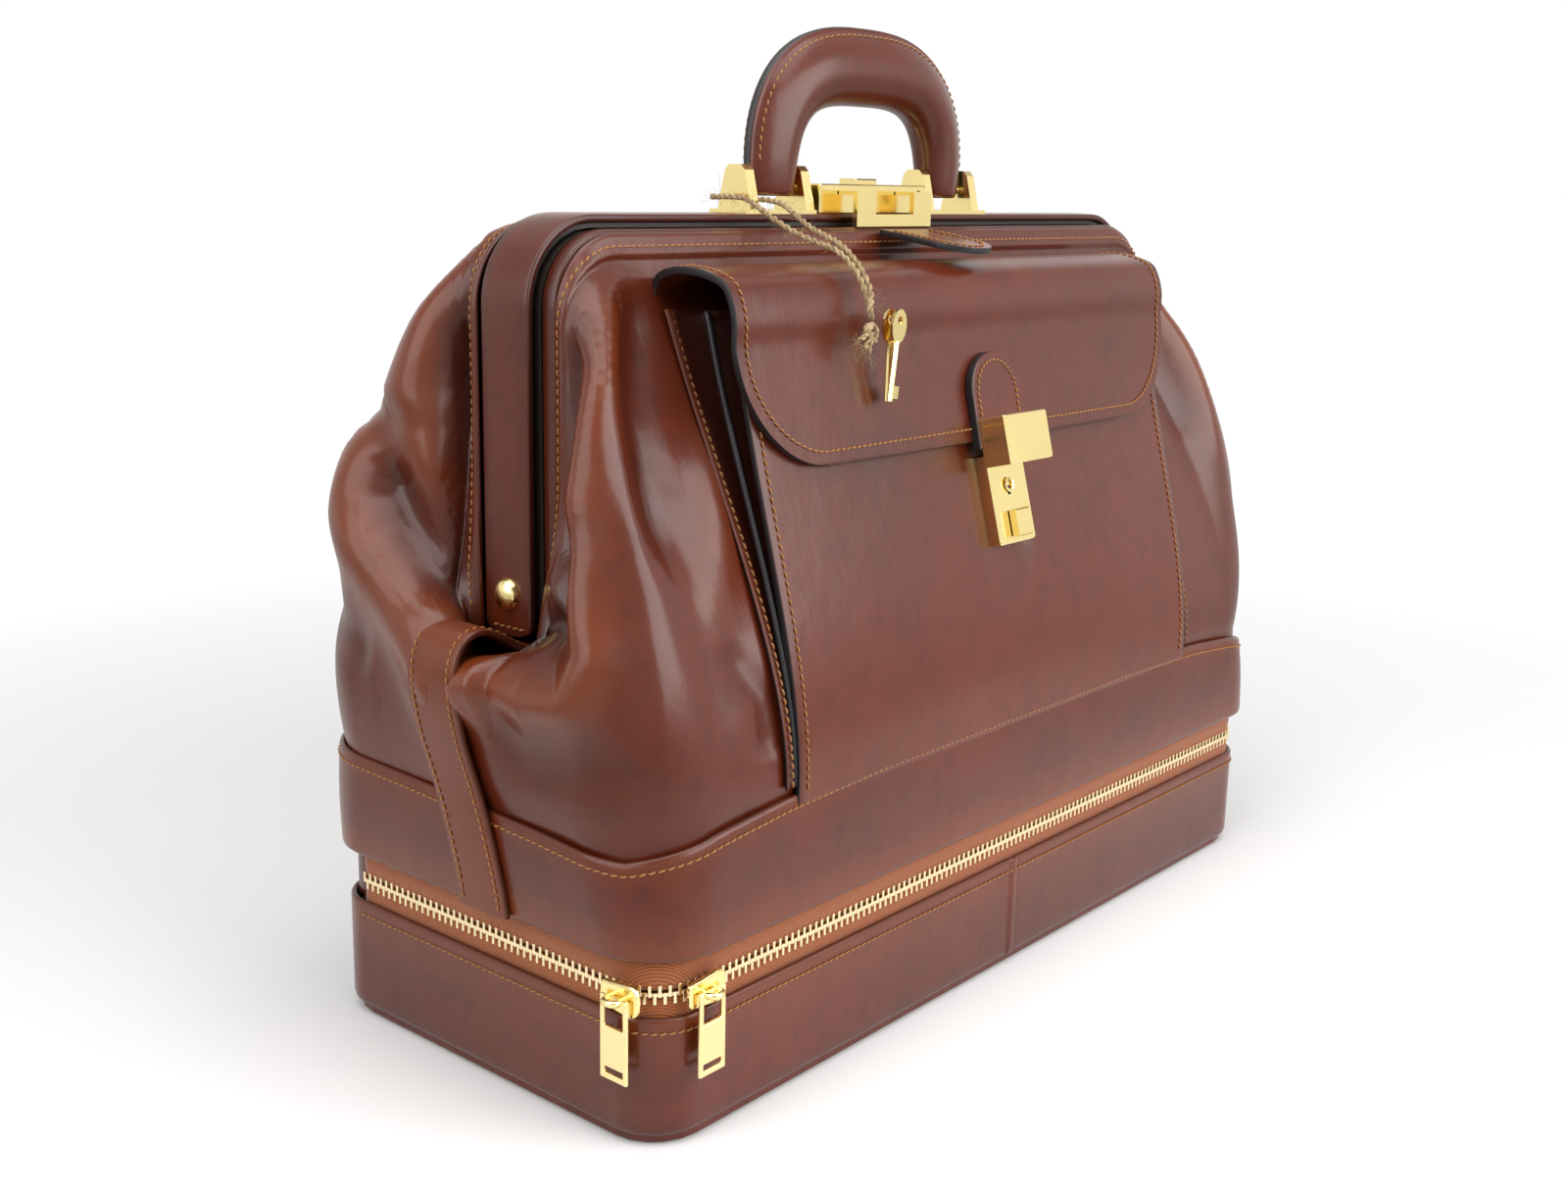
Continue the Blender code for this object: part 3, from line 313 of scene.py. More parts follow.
def unit(v):
    v = np.asarray(v, float)
    return v / np.maximum(np.linalg.norm(v, axis=-1, keepdims=True), 1e-12)


def grid_normals(points):
    across, down = np.gradient(points, axis=0), np.gradient(points, axis=1)
    return unit(np.cross(across, down))


def ease(value, low, high):
    s = np.clip((value - low) / (high - low), 0, 1)
    return s * s * (3 - 2 * s)


def resample(points, spacing, count=None):
    """Points at even spacing on a polyline, with the place of each as an index into the line."""
    points = np.asarray(points, float)
    steps = np.linalg.norm(np.diff(points, axis=0), axis=1)
    run = np.concatenate([[0], np.cumsum(steps)])
    count = count or max(2, int(round(run[-1] / spacing)) + 1)
    at = np.linspace(0, run[-1], count)
    index = np.interp(at, run, np.arange(len(points)))
    return np.stack([np.interp(at, run, points[:, k]) for k in range(3)], axis=1), index


def stitches(name, line, normals, weights=None, pitch=0.0032, length=0.0026, radius=0.00036, tilt=0.16):
    """A row of sewn stitches along a line on a surface. Returns the object, with weights at its points if given."""
    spots, index = resample(line, pitch)
    normals = np.asarray(normals, float)
    n = np.stack([np.interp(index, np.arange(len(line)), normals[:, k]) for k in range(3)], axis=1)
    n = unit(n)
    along = unit(np.gradient(spots, axis=0))
    side = unit(np.cross(n, along))
    points, faces, shares = [], [], []
    stations = ((-0.5, 0.25, -0.5), (-0.36, 0.85, 0.5), (0.0, 1.0, 0.9), (0.36, 0.85, 0.5), (0.5, 0.25, -0.5))
    sides = 6
    for i in range(len(spots) - 1):
        centre = (spots[i] + spots[i + 1]) / 2
        d = unit(along[i] + side[i] * tilt)
        s = unit(np.cross(n[i], d))
        base = len(points)
        for reach, wide, lift in stations:
            for k in range(sides):
                a = 2 * math.pi * k / sides
                points.append(centre + d * length * reach + s * radius * 1.15 * wide * math.cos(a)
                              + n[i] * radius * (wide * math.sin(a) + lift))
                if weights is not None:
                    shares.append(np.interp(index[i], np.arange(len(line)), weights))
        for r in range(len(stations) - 1):
            for k in range(sides):
                q = (k + 1) % sides
                faces.append((base + r * sides + k, base + r * sides + q, base + (r + 1) * sides + q,
                              base + (r + 1) * sides + k))
        faces.append([base + k for k in range(sides)][::-1])
        faces.append([base + (len(stations) - 1) * sides + k for k in range(sides)])
    obj = piece(name, points, faces, THREAD, sharp=0)
    return obj, np.array(shares)


def blended(obj, a, b, weights, slot, *nodes):
    """The piece bends between two bodies, with a weight of its own at each point."""
    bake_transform(obj, a, b, (0, 0, 0), (0, 0, 1))
    attribute(obj, "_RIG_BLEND", weights)
    return put(obj, None, slot, *nodes)


# ---- The twine, which is a free cord -------------------------------------------------------------
KNOT = np.array((-0.0880, -0.0735, 0.2640))
TWINE_ROUTE = (
    (-0.0860, -0.0722, 0.2685), (-0.0862, -0.0700, 0.2760), (-0.0868, -0.0650, 0.2850), (-0.0870, -0.0570, 0.2915),
    (-0.0870, -0.0470, 0.2945), (-0.0872, -0.0370, 0.2975), (-0.0875, -0.0270, 0.3020), (-0.0868, -0.0180, 0.3065),
    (-0.0850, -0.0100, 0.3092), (-0.0838, 0.0000, 0.3096), (-0.0820, 0.0085, 0.3094), (-0.0770, 0.0118, 0.3092),
    (-0.0725, 0.0085, 0.3090), (-0.0714, 0.0000, 0.3088), (-0.0716, -0.0095, 0.3086), (-0.0730, -0.0185, 0.3072),
    (-0.0752, -0.0275, 0.3030), (-0.0775, -0.0370, 0.2988), (-0.0800, -0.0470, 0.2960), (-0.0825, -0.0565, 0.2925),
    (-0.0843, -0.0650, 0.2860), (-0.0850, -0.0705, 0.2780), (-0.0890, -0.0735, 0.2712),
)


def smooth_line(points, spacing):
    """Points at even spacing on a smooth curve through the route."""
    p = np.asarray(points, float)
    p = np.vstack([2 * p[0] - p[1], p, 2 * p[-1] - p[-2]])
    t = np.linspace(0, 1, 16, endpoint=False)[:, None]
    fine = []
    for a, b, c, d in zip(p, p[1:], p[2:], p[3:]):
        fine.append((2 * b + (c - a) * t + (2 * a - 5 * b + 4 * c - d) * t**2 + (3 * b - a - 3 * c + d) * t**3) / 2)
    return resample(np.vstack(fine + [p[-2:-1]]), spacing)[0]


def tube(points, radius, sides=8):
    """Points and faces of a round tube. radius is one number, or one for each point."""
    points = np.asarray(points, float)
    along = unit(np.gradient(points, axis=0))
    across = np.cross(along[0], (0.3, 0.2, 0.93))
    rings = []
    radius = np.broadcast_to(radius, len(points))
    for p, d, r in zip(points, along, radius):
        across = unit(across - d * np.dot(across, d))
        other = np.cross(d, across)
        a = np.linspace(0, 2 * math.pi, sides, endpoint=False)[:, None]
        rings.append(p + r * (np.cos(a) * across + np.sin(a) * other))
    return np.vstack(rings), swept_faces(len(points), sides)


def gathered(parts):
    """Several (points, faces) as one."""
    points, faces, base = [], [], 0
    for p, f in parts:
        points.append(np.asarray(p))
        faces += [[base + i for i in face] for face in f]
        base += len(p)
    return np.vstack(points), faces


def twisted(line, radius=0.00064, off=0.00056, pitch=0.0066):
    """Two plies turning round a line."""
    along = unit(np.gradient(line, axis=0))
    run = np.concatenate([[0], np.cumsum(np.linalg.norm(np.diff(line, axis=0), axis=1))])
    across, plies = np.cross(along[0], (0.2, 0.1, 0.97)), ([], [])
    for p, d, s in zip(line, along, run):
        across = unit(across - d * np.dot(across, d))
        other = np.cross(d, across)
        for ply, start in zip(plies, (0.0, math.pi)):
            a = 2 * math.pi * s / pitch + start
            ply.append(p + off * (math.cos(a) * across + math.sin(a) * other))
    return gathered([tube(np.array(ply), radius, 7) for ply in plies])


def hairs(spots, reach, count, spread):
    """Loose fibres: thin bent tubes that start near the spots and stand out."""
    parts = []
    for _ in range(count):
        start = spots[rng.integers(len(spots))] + rng.normal(0, 0.0003, 3)
        way = unit(rng.normal(0, 1, 3) + spread)
        bend = rng.normal(0, 0.35, 3)
        size = reach * rng.uniform(0.4, 1.0)
        line = [start + (way + bend * s) * size * s for s in (0.0, 0.33, 0.66, 1.0)]
        parts.append(tube(np.array(line), 0.00005, 3))
    return gathered(parts)


def make_twine():
    line = smooth_line(TWINE_ROUTE, 0.0008)
    cord = piece("twine_visual", *twisted(line), JUTE, sharp=0)
    put(cord, "front_panel", "twine", "twine")
    fuzz = piece("twine_fuzz", *hairs(line, 0.0060, 190, (0, -0.2, -0.2)), JUTE, sharp=0)
    put(fuzz, "front_panel", "twine")
    wraps = []
    for tip, turn in ((0.2, 0.0), (0.9, 1.1), (-0.7, 2.3)):
        a = np.linspace(0, 2 * math.pi, 26)
        u = np.array((math.cos(turn), 0.25 * math.sin(turn), math.sin(turn)))
        v = unit(np.cross(u, (0.1, 1.0, tip)))
        loop = KNOT + 0.0031 * np.cos(a)[:, None] * u + 0.0025 * np.sin(a)[:, None] * v
        wraps.append(twisted(loop, 0.00060, 0.00050))
    for shift in ((-0.0050, -0.0008, -0.0052), (-0.0078, -0.0004, -0.0022), (-0.0030, -0.0012, -0.0066)):
        end = smooth_line([KNOT, KNOT + np.array(shift) * 0.6 + (0, -0.0006, 0.0004), KNOT + np.array(shift)], 0.0007)
        wraps.append(twisted(end, 0.00055, 0.00050))
        wraps.append(hairs([KNOT + np.array(shift) * 0.85], 0.0055, 26, np.array(shift) * 300))
    knot = piece("twine_knot_visual", *gathered(wraps), JUTE, sharp=0)
    put(knot, "flap", "twine", "twine_knot")


make_twine()


# ---- The body's leather --------------------------------------------------------------------------
def frame_edge(w, half, top, low, radius):
    """X and Z on the frame's edge: w runs from the leg's low end (0) over the corner to the middle (1)."""
    leg, turn = 0.45, 0.60
    angle = np.radians(90 * np.clip((w - leg) / (turn - leg), 0, 1))
    x = np.where(w < leg, half, half - radius + radius * np.cos(angle))
    z = np.where(w < leg, low + (top - radius - low) * w / leg, top - radius + radius * np.sin(angle))
    return np.where(w > turn, (half - radius) * (1 - w) / (1 - turn), x), np.where(w > turn, top, z)


def seam_edge(w, side):
    """X and Y (both outward) on the seam: w runs from the middle of the end (0) to the middle of the face (1)."""
    end, turn = 0.33, 0.60
    half_x, half_y = BAND_TOP_HALF[0] - SEAM_IN, BAND_TOP_HALF[1] - SEAM_IN + side * BAND_SHIFT
    angle = np.radians(90 * np.clip((w - end) / (turn - end), 0, 1))
    x = half_x - SEAM_CORNER * (1 - np.cos(angle))
    y = np.where(w < end, GAP + (half_y - SEAM_CORNER - GAP) * w / end, half_y - SEAM_CORNER * (1 - np.sin(angle)))
    x = np.where(w > turn, (half_x - SEAM_CORNER) * (1 - w) / (1 - turn), x)
    return x, np.where(w > turn, half_y, y)


HANDLES_AT = (0.0, 0.25, 0.5, 0.63, 1.0)
HANDLES = {
    -1: (((0.020, 0, 0), (0.006, 0.020, -0.012), (0.004, 0.018, -0.030), (0, 0.012, -0.055), (0, 0.012, -0.055)),
         ((0.012, 0, 0.042), (0.012, 0.004, 0.060), (0.008, 0.008, 0.068), (0, 0, 0.055), (0, 0, 0.055))),
    1: (((0.020, 0, 0), (0.006, 0.030, -0.010), (0.004, 0.034, -0.022), (0, 0.028, -0.040), (0, 0.024, -0.046)),
        ((0.012, 0, 0.042), (0.012, 0.010, 0.062), (0.008, 0.014, 0.072), (0, 0.012, 0.064), (0, 0.010, 0.060))),
}


def eased(w, values):
    values = np.array(values)
    at = np.searchsorted(HANDLES_AT, np.clip(w, 1e-9, 1)) - 1
    low, high = np.array(HANDLES_AT)[at], np.array(HANDLES_AT)[at + 1]
    s = ((w - low) / (high - low))
    s = (s * s * (3 - 2 * s))[..., None]
    return values[at] * (1 - s) + values[at + 1] * s


def end_share(x):
    s = np.clip((np.abs(x) - (BAND_TOP_HALF[0] - SEAM_CORNER * 1.6)) / (SEAM_CORNER * 1.6), 0, 1)
    return s * s * (3 - 2 * s)


def body_points(w, t, side, hand):
    """Points of the body's outside. w: 0 at the end's middle, 1 at the face's. t: 0 at the frame, 1 at the seam."""
    w, t = np.broadcast_arrays(np.asarray(w, float), np.asarray(t, float))
    if side < 0:
        x, z = frame_edge(w, FRAME_HALF - 0.0055, FRONT_TOP[1], LEATHER_LOW, FRAME_CORNER - 0.005)
        start = np.stack([x, np.full_like(x, -FRONT_TOP[0]), z], axis=-1)
    else:
        x, z = frame_edge(w, FRAME_HALF - 0.0005, REAR_TOP[1], LEATHER_LOW, FRAME_CORNER)
        start = np.stack([x, np.full_like(x, REAR_TOP[0]), z], axis=-1)
    first, second = eased(w, HANDLES[side][0]), eased(w, HANDLES[side][1])
    x, y = seam_edge(w, side)
    share = end_share(x)
    end = np.stack([x, y, PANEL_FOOT * (1 - share) + BAND_TOP_END * share + 2 * GAP], axis=-1)
    s, t = (1 - t)[..., None], t[..., None]
    p = start * s**3 + (start + first) * 3 * s * s * t + (end + second) * 3 * s * t * t + end * t**3
    return p * (hand, side, 1.0)


# Folds of the leather: (hand, route of (w, t) places, height outwards in metres, half width in metres).
# A route that ends at w = 0 keeps its height there, and the saddle over the end carries it across.
FRONT_FOLDS = (
    (-1, ((0.62, 0.07), (0.57, 0.16), (0.51, 0.26), (0.43, 0.34), (0.36, 0.44), (0.36, 0.56), (0.39, 0.68),
          (0.34, 0.76), (0.20, 0.74), (0.10, 0.64), (0.0, 0.56)), 0.0066, 0.0090),
    (-1, ((0.10, 0.64), (0.05, 0.58), (0.0, 0.54)), 0.0062, 0.0120),
    (-1, ((0.48, 0.08), (0.42, 0.15), (0.34, 0.17), (0.25, 0.18), (0.17, 0.28)), -0.0072, 0.0100),
    (-1, ((0.30, 0.30), (0.26, 0.44), (0.24, 0.56), (0.13, 0.44), (0.0, 0.20)), -0.0090, 0.0105),
    (-1, ((0.61, 0.08), (0.60, 0.19), (0.57, 0.35), (0.56, 0.47), (0.57, 0.62)), -0.0046, 0.0095),
    (-1, ((0.66, 0.16), (0.67, 0.34), (0.64, 0.54), (0.60, 0.72)), 0.0022, 0.0090),
    (-1, ((0.62, 0.70), (0.66, 0.82), (0.66, 0.94)), -0.0022, 0.0070),
    (-1, ((0.10, 0.86), (0.30, 0.88), (0.46, 0.86)), -0.0016, 0.0110),
    (1, ((0.59, 0.05), (0.56, 0.18), (0.52, 0.34), (0.46, 0.50), (0.40, 0.66), (0.30, 0.74), (0.14, 0.68),
         (0.0, 0.56)), 0.0062, 0.0110),
    (1, ((0.50, 0.05), (0.44, 0.14), (0.30, 0.18), (0.22, 0.40), (0.10, 0.42), (0.0, 0.20)), -0.0085, 0.0095),
    (1, ((0.62, 0.10), (0.61, 0.34), (0.58, 0.55)), -0.0030, 0.0110),
)
REAR_FOLDS = (
    (-1, ((0.54, 0.03), (0.46, 0.08), (0.38, 0.08), (0.28, 0.06), (0.18, 0.05), (0.08, 0.05), (0.0, 0.05)),
     -0.0100, 0.0075),
    (-1, ((0.70, 0.02), (0.62, 0.04), (0.55, 0.11), (0.49, 0.19), (0.42, 0.24), (0.34, 0.24), (0.24, 0.20),
          (0.12, 0.13)), 0.0062, 0.0115),
    (-1, ((0.62, 0.22), (0.53, 0.30), (0.45, 0.37)), 0.0042, 0.0170),
    (-1, ((0.40, 0.38), (0.33, 0.41), (0.25, 0.39), (0.14, 0.33), (0.04, 0.24)), -0.0070, 0.0090),
    (-1, ((0.62, 0.42), (0.53, 0.50), (0.43, 0.55), (0.32, 0.55), (0.20, 0.52), (0.08, 0.50), (0.0, 0.52)),
     0.0105, 0.0150),
    (-1, ((0.54, 0.72), (0.40, 0.76), (0.24, 0.76)), -0.0025, 0.0100),
    (1, ((0.54, 0.03), (0.46, 0.08), (0.38, 0.08), (0.28, 0.06), (0.18, 0.05), (0.08, 0.05), (0.0, 0.05)),
     -0.0090, 0.0080),
    (1, ((0.68, 0.03), (0.60, 0.06), (0.53, 0.15), (0.44, 0.24), (0.34, 0.26), (0.24, 0.22), (0.12, 0.16)),
     0.0090, 0.0115),
    (1, ((0.44, 0.37), (0.32, 0.41), (0.20, 0.38), (0.06, 0.26)), -0.0055, 0.0095),
    (1, ((0.60, 0.48), (0.50, 0.55), (0.38, 0.58), (0.26, 0.56), (0.12, 0.52), (0.0, 0.52)), 0.0095, 0.0150),
)


def fold_heights(points, side, folds, hands):
    """How far each point is moved along its normal by the folds."""
    height = np.zeros(points.shape[:2])
    for hand, route, rise, wide in folds:
        rows = np.array(route)
        steps = np.linspace(0, len(rows) - 1, 60)
        w = np.interp(steps, np.arange(len(rows)), rows[:, 0])
        t = np.interp(steps, np.arange(len(rows)), rows[:, 1])
        line = body_points(w, t, side, hand)
        away = np.linalg.norm(points[:, :, None, :] - line[None, None], axis=-1)
        nearest = away.argmin(axis=2)
        share = nearest / (len(steps) - 1)
        taper = ease(share, -0.02, 0.22) * (1 if route[-1][0] == 0 else 1 - ease(share, 0.80, 1.02))
        amount = rise * np.exp(-((away.min(axis=2) / wide) ** 2)) * taper
        height += np.where(hands == hand, amount, 0)
    return height


def band_outline(w, side, hand, z, inset):
    """A point on the band's outside at a height, moved in by an inset."""
    lift = np.clip((z - BAND_LOW) / (BAND_TOP_FRONT - BAND_LOW), 0, 1)[..., None]
    rows = []
    for half, corner, shift in ((BAND_LOW_HALF, 0.026, 0.0), (BAND_TOP_HALF, SEAM_CORNER, BAND_SHIFT)):
        end, turn = 0.33, 0.60
        angle = np.radians(90 * np.clip((w - end) / (turn - end), 0, 1))
        half_x, half_y, r = half[0] - inset, half[1] + side * shift - inset, corner - inset
        x = half_x - r * (1 - np.cos(angle))
        y = np.where(w < end, (half_y - r) * w / end, half_y - r * (1 - np.sin(angle)))
        x = np.where(w > turn, (half_x - r) * (1 - w) / (1 - turn), x)
        rows.append(np.stack([hand * x, side * y, z], axis=-1))
    return rows[0] * (1 - lift) + rows[1] * lift


EDGE_STRIP = 0.0088  # the sewn edge along the frame
SKIRT = ((0.0060, 0.0024), (0.0140, 0.0028), (0.0240, 0.0040), (0.0340, 0.0050))  # (below the seam, in from the band)


def body_skin(name, side, folds, across=240, down=110):
    """One half of the body's leather, with its folds, its sewn edge and a skirt that goes down behind the band."""
    u = np.linspace(0, 1, across + 1)[:, None]
    t = np.concatenate([np.linspace(0, 0.14, 24, endpoint=False), np.linspace(0.14, 1.0, down - 23)])[None, :]
    w = 1 - np.abs(2 * u - 1)
    hands = np.where(u < 0.5, -1, 1) * np.ones_like(t)
    left, right = body_points(w, t, side, -1), body_points(w, t, side, 1)
    points = np.where((hands < 0)[..., None], left, right)
    normals = grid_normals(points)
    if np.mean(np.sum(normals * (points - (0, 0, 0.18)), axis=-1)) < 0:
        normals = -normals
    steps = np.linalg.norm(np.diff(points, axis=1), axis=2)
    run = np.concatenate([np.zeros((across + 1, 1)), np.cumsum(steps, axis=1)], 1)
    near, far = (EDGE_STRIP * 0.9, EDGE_STRIP * 2.0) if side < 0 else (0.0020, 0.0100)
    free = ease(run, near, far) * (1 - ease(np.broadcast_to(t, run.shape), 0.90, 1.0))
    height = fold_heights(points, side, folds, hands) * free
    height += 0.0014 * (1 - ease(run, EDGE_STRIP - 0.0009, EDGE_STRIP + 0.0004))
    height -= 0.0010 * (1 - ease(run, 0.0, 0.0012))
    moved = points + normals * height[..., None]
    seam = points[:, -1]
    rows = []
    for below, inset in SKIRT:
        z = seam[:, 2] - below
        side_rows = [band_outline(w[:, 0], side, h, z, inset) for h in (-1, 1)]
        rows.append(np.where((hands[:, :1] < 0), side_rows[0], side_rows[1]))
    whole = np.concatenate([moved, np.stack(rows, axis=1)], axis=1)
    count_u, count_t = whole.shape[:2]
    faces = grid_faces(count_u, count_t)
    obj = piece(name, whole.reshape(-1, 3), faces, LEATHER, LINING, sharp=0)
    t_all = np.concatenate([np.broadcast_to(t, run.shape), np.ones((across + 1, len(SKIRT)))], axis=1)
    run_all = np.concatenate([run, np.repeat(run[:, -1:], len(SKIRT), axis=1)], axis=1)
    w_all = np.broadcast_to(w, t_all.shape)
    weights = frame_share(w_all, t_all, run_all)
    # Painted light: fold valleys are darkened as painted shade and fold crests warmed as painted highlights. The
    # leather within 3 cm of the frame gets painted shade, and the last 1.4 mm at the frame edge is darker.
    hollow = np.concatenate([height, np.zeros((across + 1, len(SKIRT)))], axis=1)
    painted_shade_by_frame = 1 - ease(run_all, 0.0, 0.030)
    rim = 1 - ease(run_all, 0.0, 0.0014)
    tones(obj, np.clip(-hollow * 95, 0, 0.85) + 0.10 * painted_shade_by_frame + 0.45 * rim, np.clip(hollow * 60, 0, 0.32))
    flip = np.mean([p.normal.dot(p.center - Vector((0, 0, 0.18))) for p in list(obj.data.polygons)[::97]]) < 0
    if flip:
        obj.data.flip_normals()
    solidify(obj, 0.0019)
    face = "front" if side < 0 else "rear"
    blended(obj, face + "_panel", face + "_frame", weights, "leather", face + "_leather")
    surface = {"points": moved, "normals": normals, "run": run, "w": w, "t": t,
               "weights": weights[:, :moved.shape[1]]}
    return obj, surface


def frame_share(w, t, run):
    """How far a point of the leather follows the frame (1) or the panel (0)."""
    face = 1 - ease(run, EDGE_STRIP, 0.030)
    end = 1 - 0.9 * ease(t, 0.0, 1.0)
    share = ease(w, 0.10, 0.60)
    return np.clip(end * (1 - share) + face * share, 0, 1)


def line_on(surface, offset, low=0, high=None):
    """The line at a distance from the surface's frame edge, with its normals and weights."""
    points, run = surface["points"], surface["run"]
    line, normals, weights = [], [], []
    for i in range(*slice(low, high).indices(len(points))):
        j = np.interp(offset, run[i], np.arange(run.shape[1]))
        k, s = int(j), j - int(j)
        line.append(points[i, k] * (1 - s) + points[i, k + 1] * s)
        normals.append(surface["normals"][i, k])
        weights.append(surface["weights"][i, k] * (1 - s) + surface["weights"][i, k + 1] * s)
    return np.array(line), np.array(normals), np.array(weights)


def saddle(front, rear, column, hand, label):
    """The leather over an end, between the two halves, which runs on smoothly from both."""
    f, r = front["points"][column], rear["points"][column]
    inner = 3 if column == 0 else -4
    lean_f = f - front["points"][inner]
    lean_r = rear["points"][inner] - r
    rows = []
    for s in np.linspace(0, 1, 17):
        a, b = 2 * s**3 - 3 * s * s + 1, s**3 - 2 * s * s + s
        c, d = 3 * s * s - 2 * s**3, s**3 - s * s
        span = 0.6 * np.linalg.norm(r - f, axis=1, keepdims=True)
        rows.append(f * a + unit(lean_f) * span * b + r * c + unit(lean_r) * span * d)
    points = np.array(rows)[:, 2:]
    low = points[:, -1:] + np.array((-0.003 * hand, 0, -0.012))
    points = np.concatenate([points, low], axis=1)
    obj = piece("end_%s_saddle" % label, points.reshape(-1, 3), grid_faces(*points.shape[:2]), LEATHER, sharp=0)
    if np.mean([p.normal.x * hand for p in obj.data.polygons]) < 0:
        obj.data.flip_normals()
    z = points[:, :, 2]
    tones(obj, 0.35)
    solidify(obj, 0.0019)
    blended(obj, "main_body", "end_folds", ease(z, 0.110, 0.158), "leather")
    return obj


def make_body():
    surfaces = []
    for name, side, folds, a, b in (("front_skin", -1, FRONT_FOLDS, "front_panel", "front_frame"),
                                    ("rear_skin", 1, REAR_FOLDS, "rear_panel", "rear_frame")):
        _, surface = body_skin(name, side, folds)
        surfaces.append(surface)
        line, normals, weights = line_on(surface, 0.0050, 4, -4)
        seam, shares = stitches(name + "_stitches", line, normals, weights)
        blended(seam, a, b, shares, "leather")
    for column, hand, label in ((0, -1, "left"), (-1, 1, "right")):
        saddle(*surfaces, column, hand, label)


make_body()


# ---- The band round the body ---------------------------------------------------------------------
QUARTERS = ((-1, -1, False), (-1, 1, True), (1, 1, False), (1, -1, True))  # (side, hand, from face to end)


def ring_places(steps=64):
    """(w, side, hand) round the whole bag, from the left end over the front to the right end and the back."""
    places = []
    for side, hand, back in QUARTERS:
        w = np.linspace(0, 1, steps, endpoint=False)
        places += [(1 - v if back else v, side, hand) for v in w]
    return places


def band_top(w, side):
    """Height of the band's upper edge: lowest at the front corners."""
    at, heights = ((0.0, 0.22, 0.42, 0.56, 0.68, 0.80, 1.0), (0.1050, 0.1030, 0.1000, 0.1050, 0.1100, 0.1120, 0.1120))
    if side > 0:
        heights = (0.1050, 0.1065, 0.1075, 0.1085, 0.1095, 0.1100, 0.1100)
    return float(np.interp(w, at, heights))


def make_band():
    low = BAND_LOW
    rows, tops = [], []
    edge_low = ((0.0012, 0.0022), (0.0, 0.0012), (0.0, 0.0003), (0.0007, -0.0004), (0.0018, -0.0007))
    edge_top = ((-0.0016, -0.0007), (-0.0006, -0.0004), (0.0, 0.0002), (0.0, 0.0010), (-0.0010, 0.0016),
                (-0.0080, 0.0020))
    places = ring_places()
    for w, side, hand in places:
        top = band_top(w, side)
        profile = [(low + z, inset) for z, inset in edge_low]
        profile += [(low + 0.0018 + (top - low - 0.0034) * s, -0.0007 - 0.0006 * math.sin(math.pi * s))
                    for s in np.linspace(0, 1, 22)[1:-1]]
        profile += [(top + z, inset) for z, inset in edge_top]
        rows.append([band_outline(np.float64(w), side, hand, np.float64(z), inset) for z, inset in profile])
        tops.append(top)
    points = np.array(rows)
    obj = piece("band_skin", points.reshape(-1, 3), grid_faces(*points.shape[:2], ring=True), LEATHER, sharp=0)
    z = points[:, :, 2]
    top = np.array(tops)[:, None]
    dark = 0.45 * (1 - ease(top - z, 0.0, 0.0010)) + 0.35 * (1 - ease(z - low, 0.0, 0.003))
    warm = 0.30 * (1 - ease(z - low, 0.0, 0.018)) + 0.15 * (1 - ease(top - z, 0.004, 0.010))
    tones(obj, dark, warm)
    put(obj, "main_body", "leather", "body_band")
    line, normals = [], []
    for w, side, hand in places + places[:1]:
        top = band_top(w, side)
        p = band_outline(np.float64(w), side, hand, np.float64(top - 0.0042), -0.0009)
        q = band_outline(np.float64(w), side, hand, np.float64(top - 0.0042), -0.0109)
        line.append(p)
        normals.append(q - p)
    seam, _ = stitches("band_stitches", np.array(line), unit(normals))
    put(seam, "main_body", "leather")


make_band()


# ---- The tray and the zip ------------------------------------------------------------------------
def wall_line(inset, back=HALF_DEPTH - CORNER, spacing=0.0008):
    """X and Y round the right end, the front and the left end, at an inset from the tray's outside."""
    x, y, r = HALF_LENGTH - inset, HALF_DEPTH - inset, CORNER - inset
    a = np.radians(np.linspace(0, -90, 24))
    right = np.stack([x - r + r * np.cos(a), -y + r + r * np.sin(a)], axis=1)
    left = right[::-1] * (-1, 1)
    line = np.vstack([[(x, back)], right, left, [(-x, back)]])
    return resample(np.column_stack([line, np.zeros(len(line))]), spacing)[0][:, :2]


def outward(line):
    """Unit directions along a line in X and Y, and away from the middle."""
    along = unit(np.gradient(line, axis=0))
    out = np.column_stack([along[:, 1], -along[:, 0]])
    return along, (-out if np.sum(out * line, axis=1).mean() < 0 else out)


def rounded_ring(half_x, half_y, r, steps=14):
    points = []
    for sx, sy, start in ((1, 1, 0), (-1, 1, 90), (-1, -1, 180), (1, -1, 270)):
        for i in range(steps + 1):
            a = math.radians(start + 90 * i / steps)
            points.append((sx * (half_x - r) + r * math.cos(a), sy * (half_y - r) + r * math.sin(a)))
    return np.array(points)


TRAY_SEAM_X = 0.003  # where the tray's leather meets itself on the front


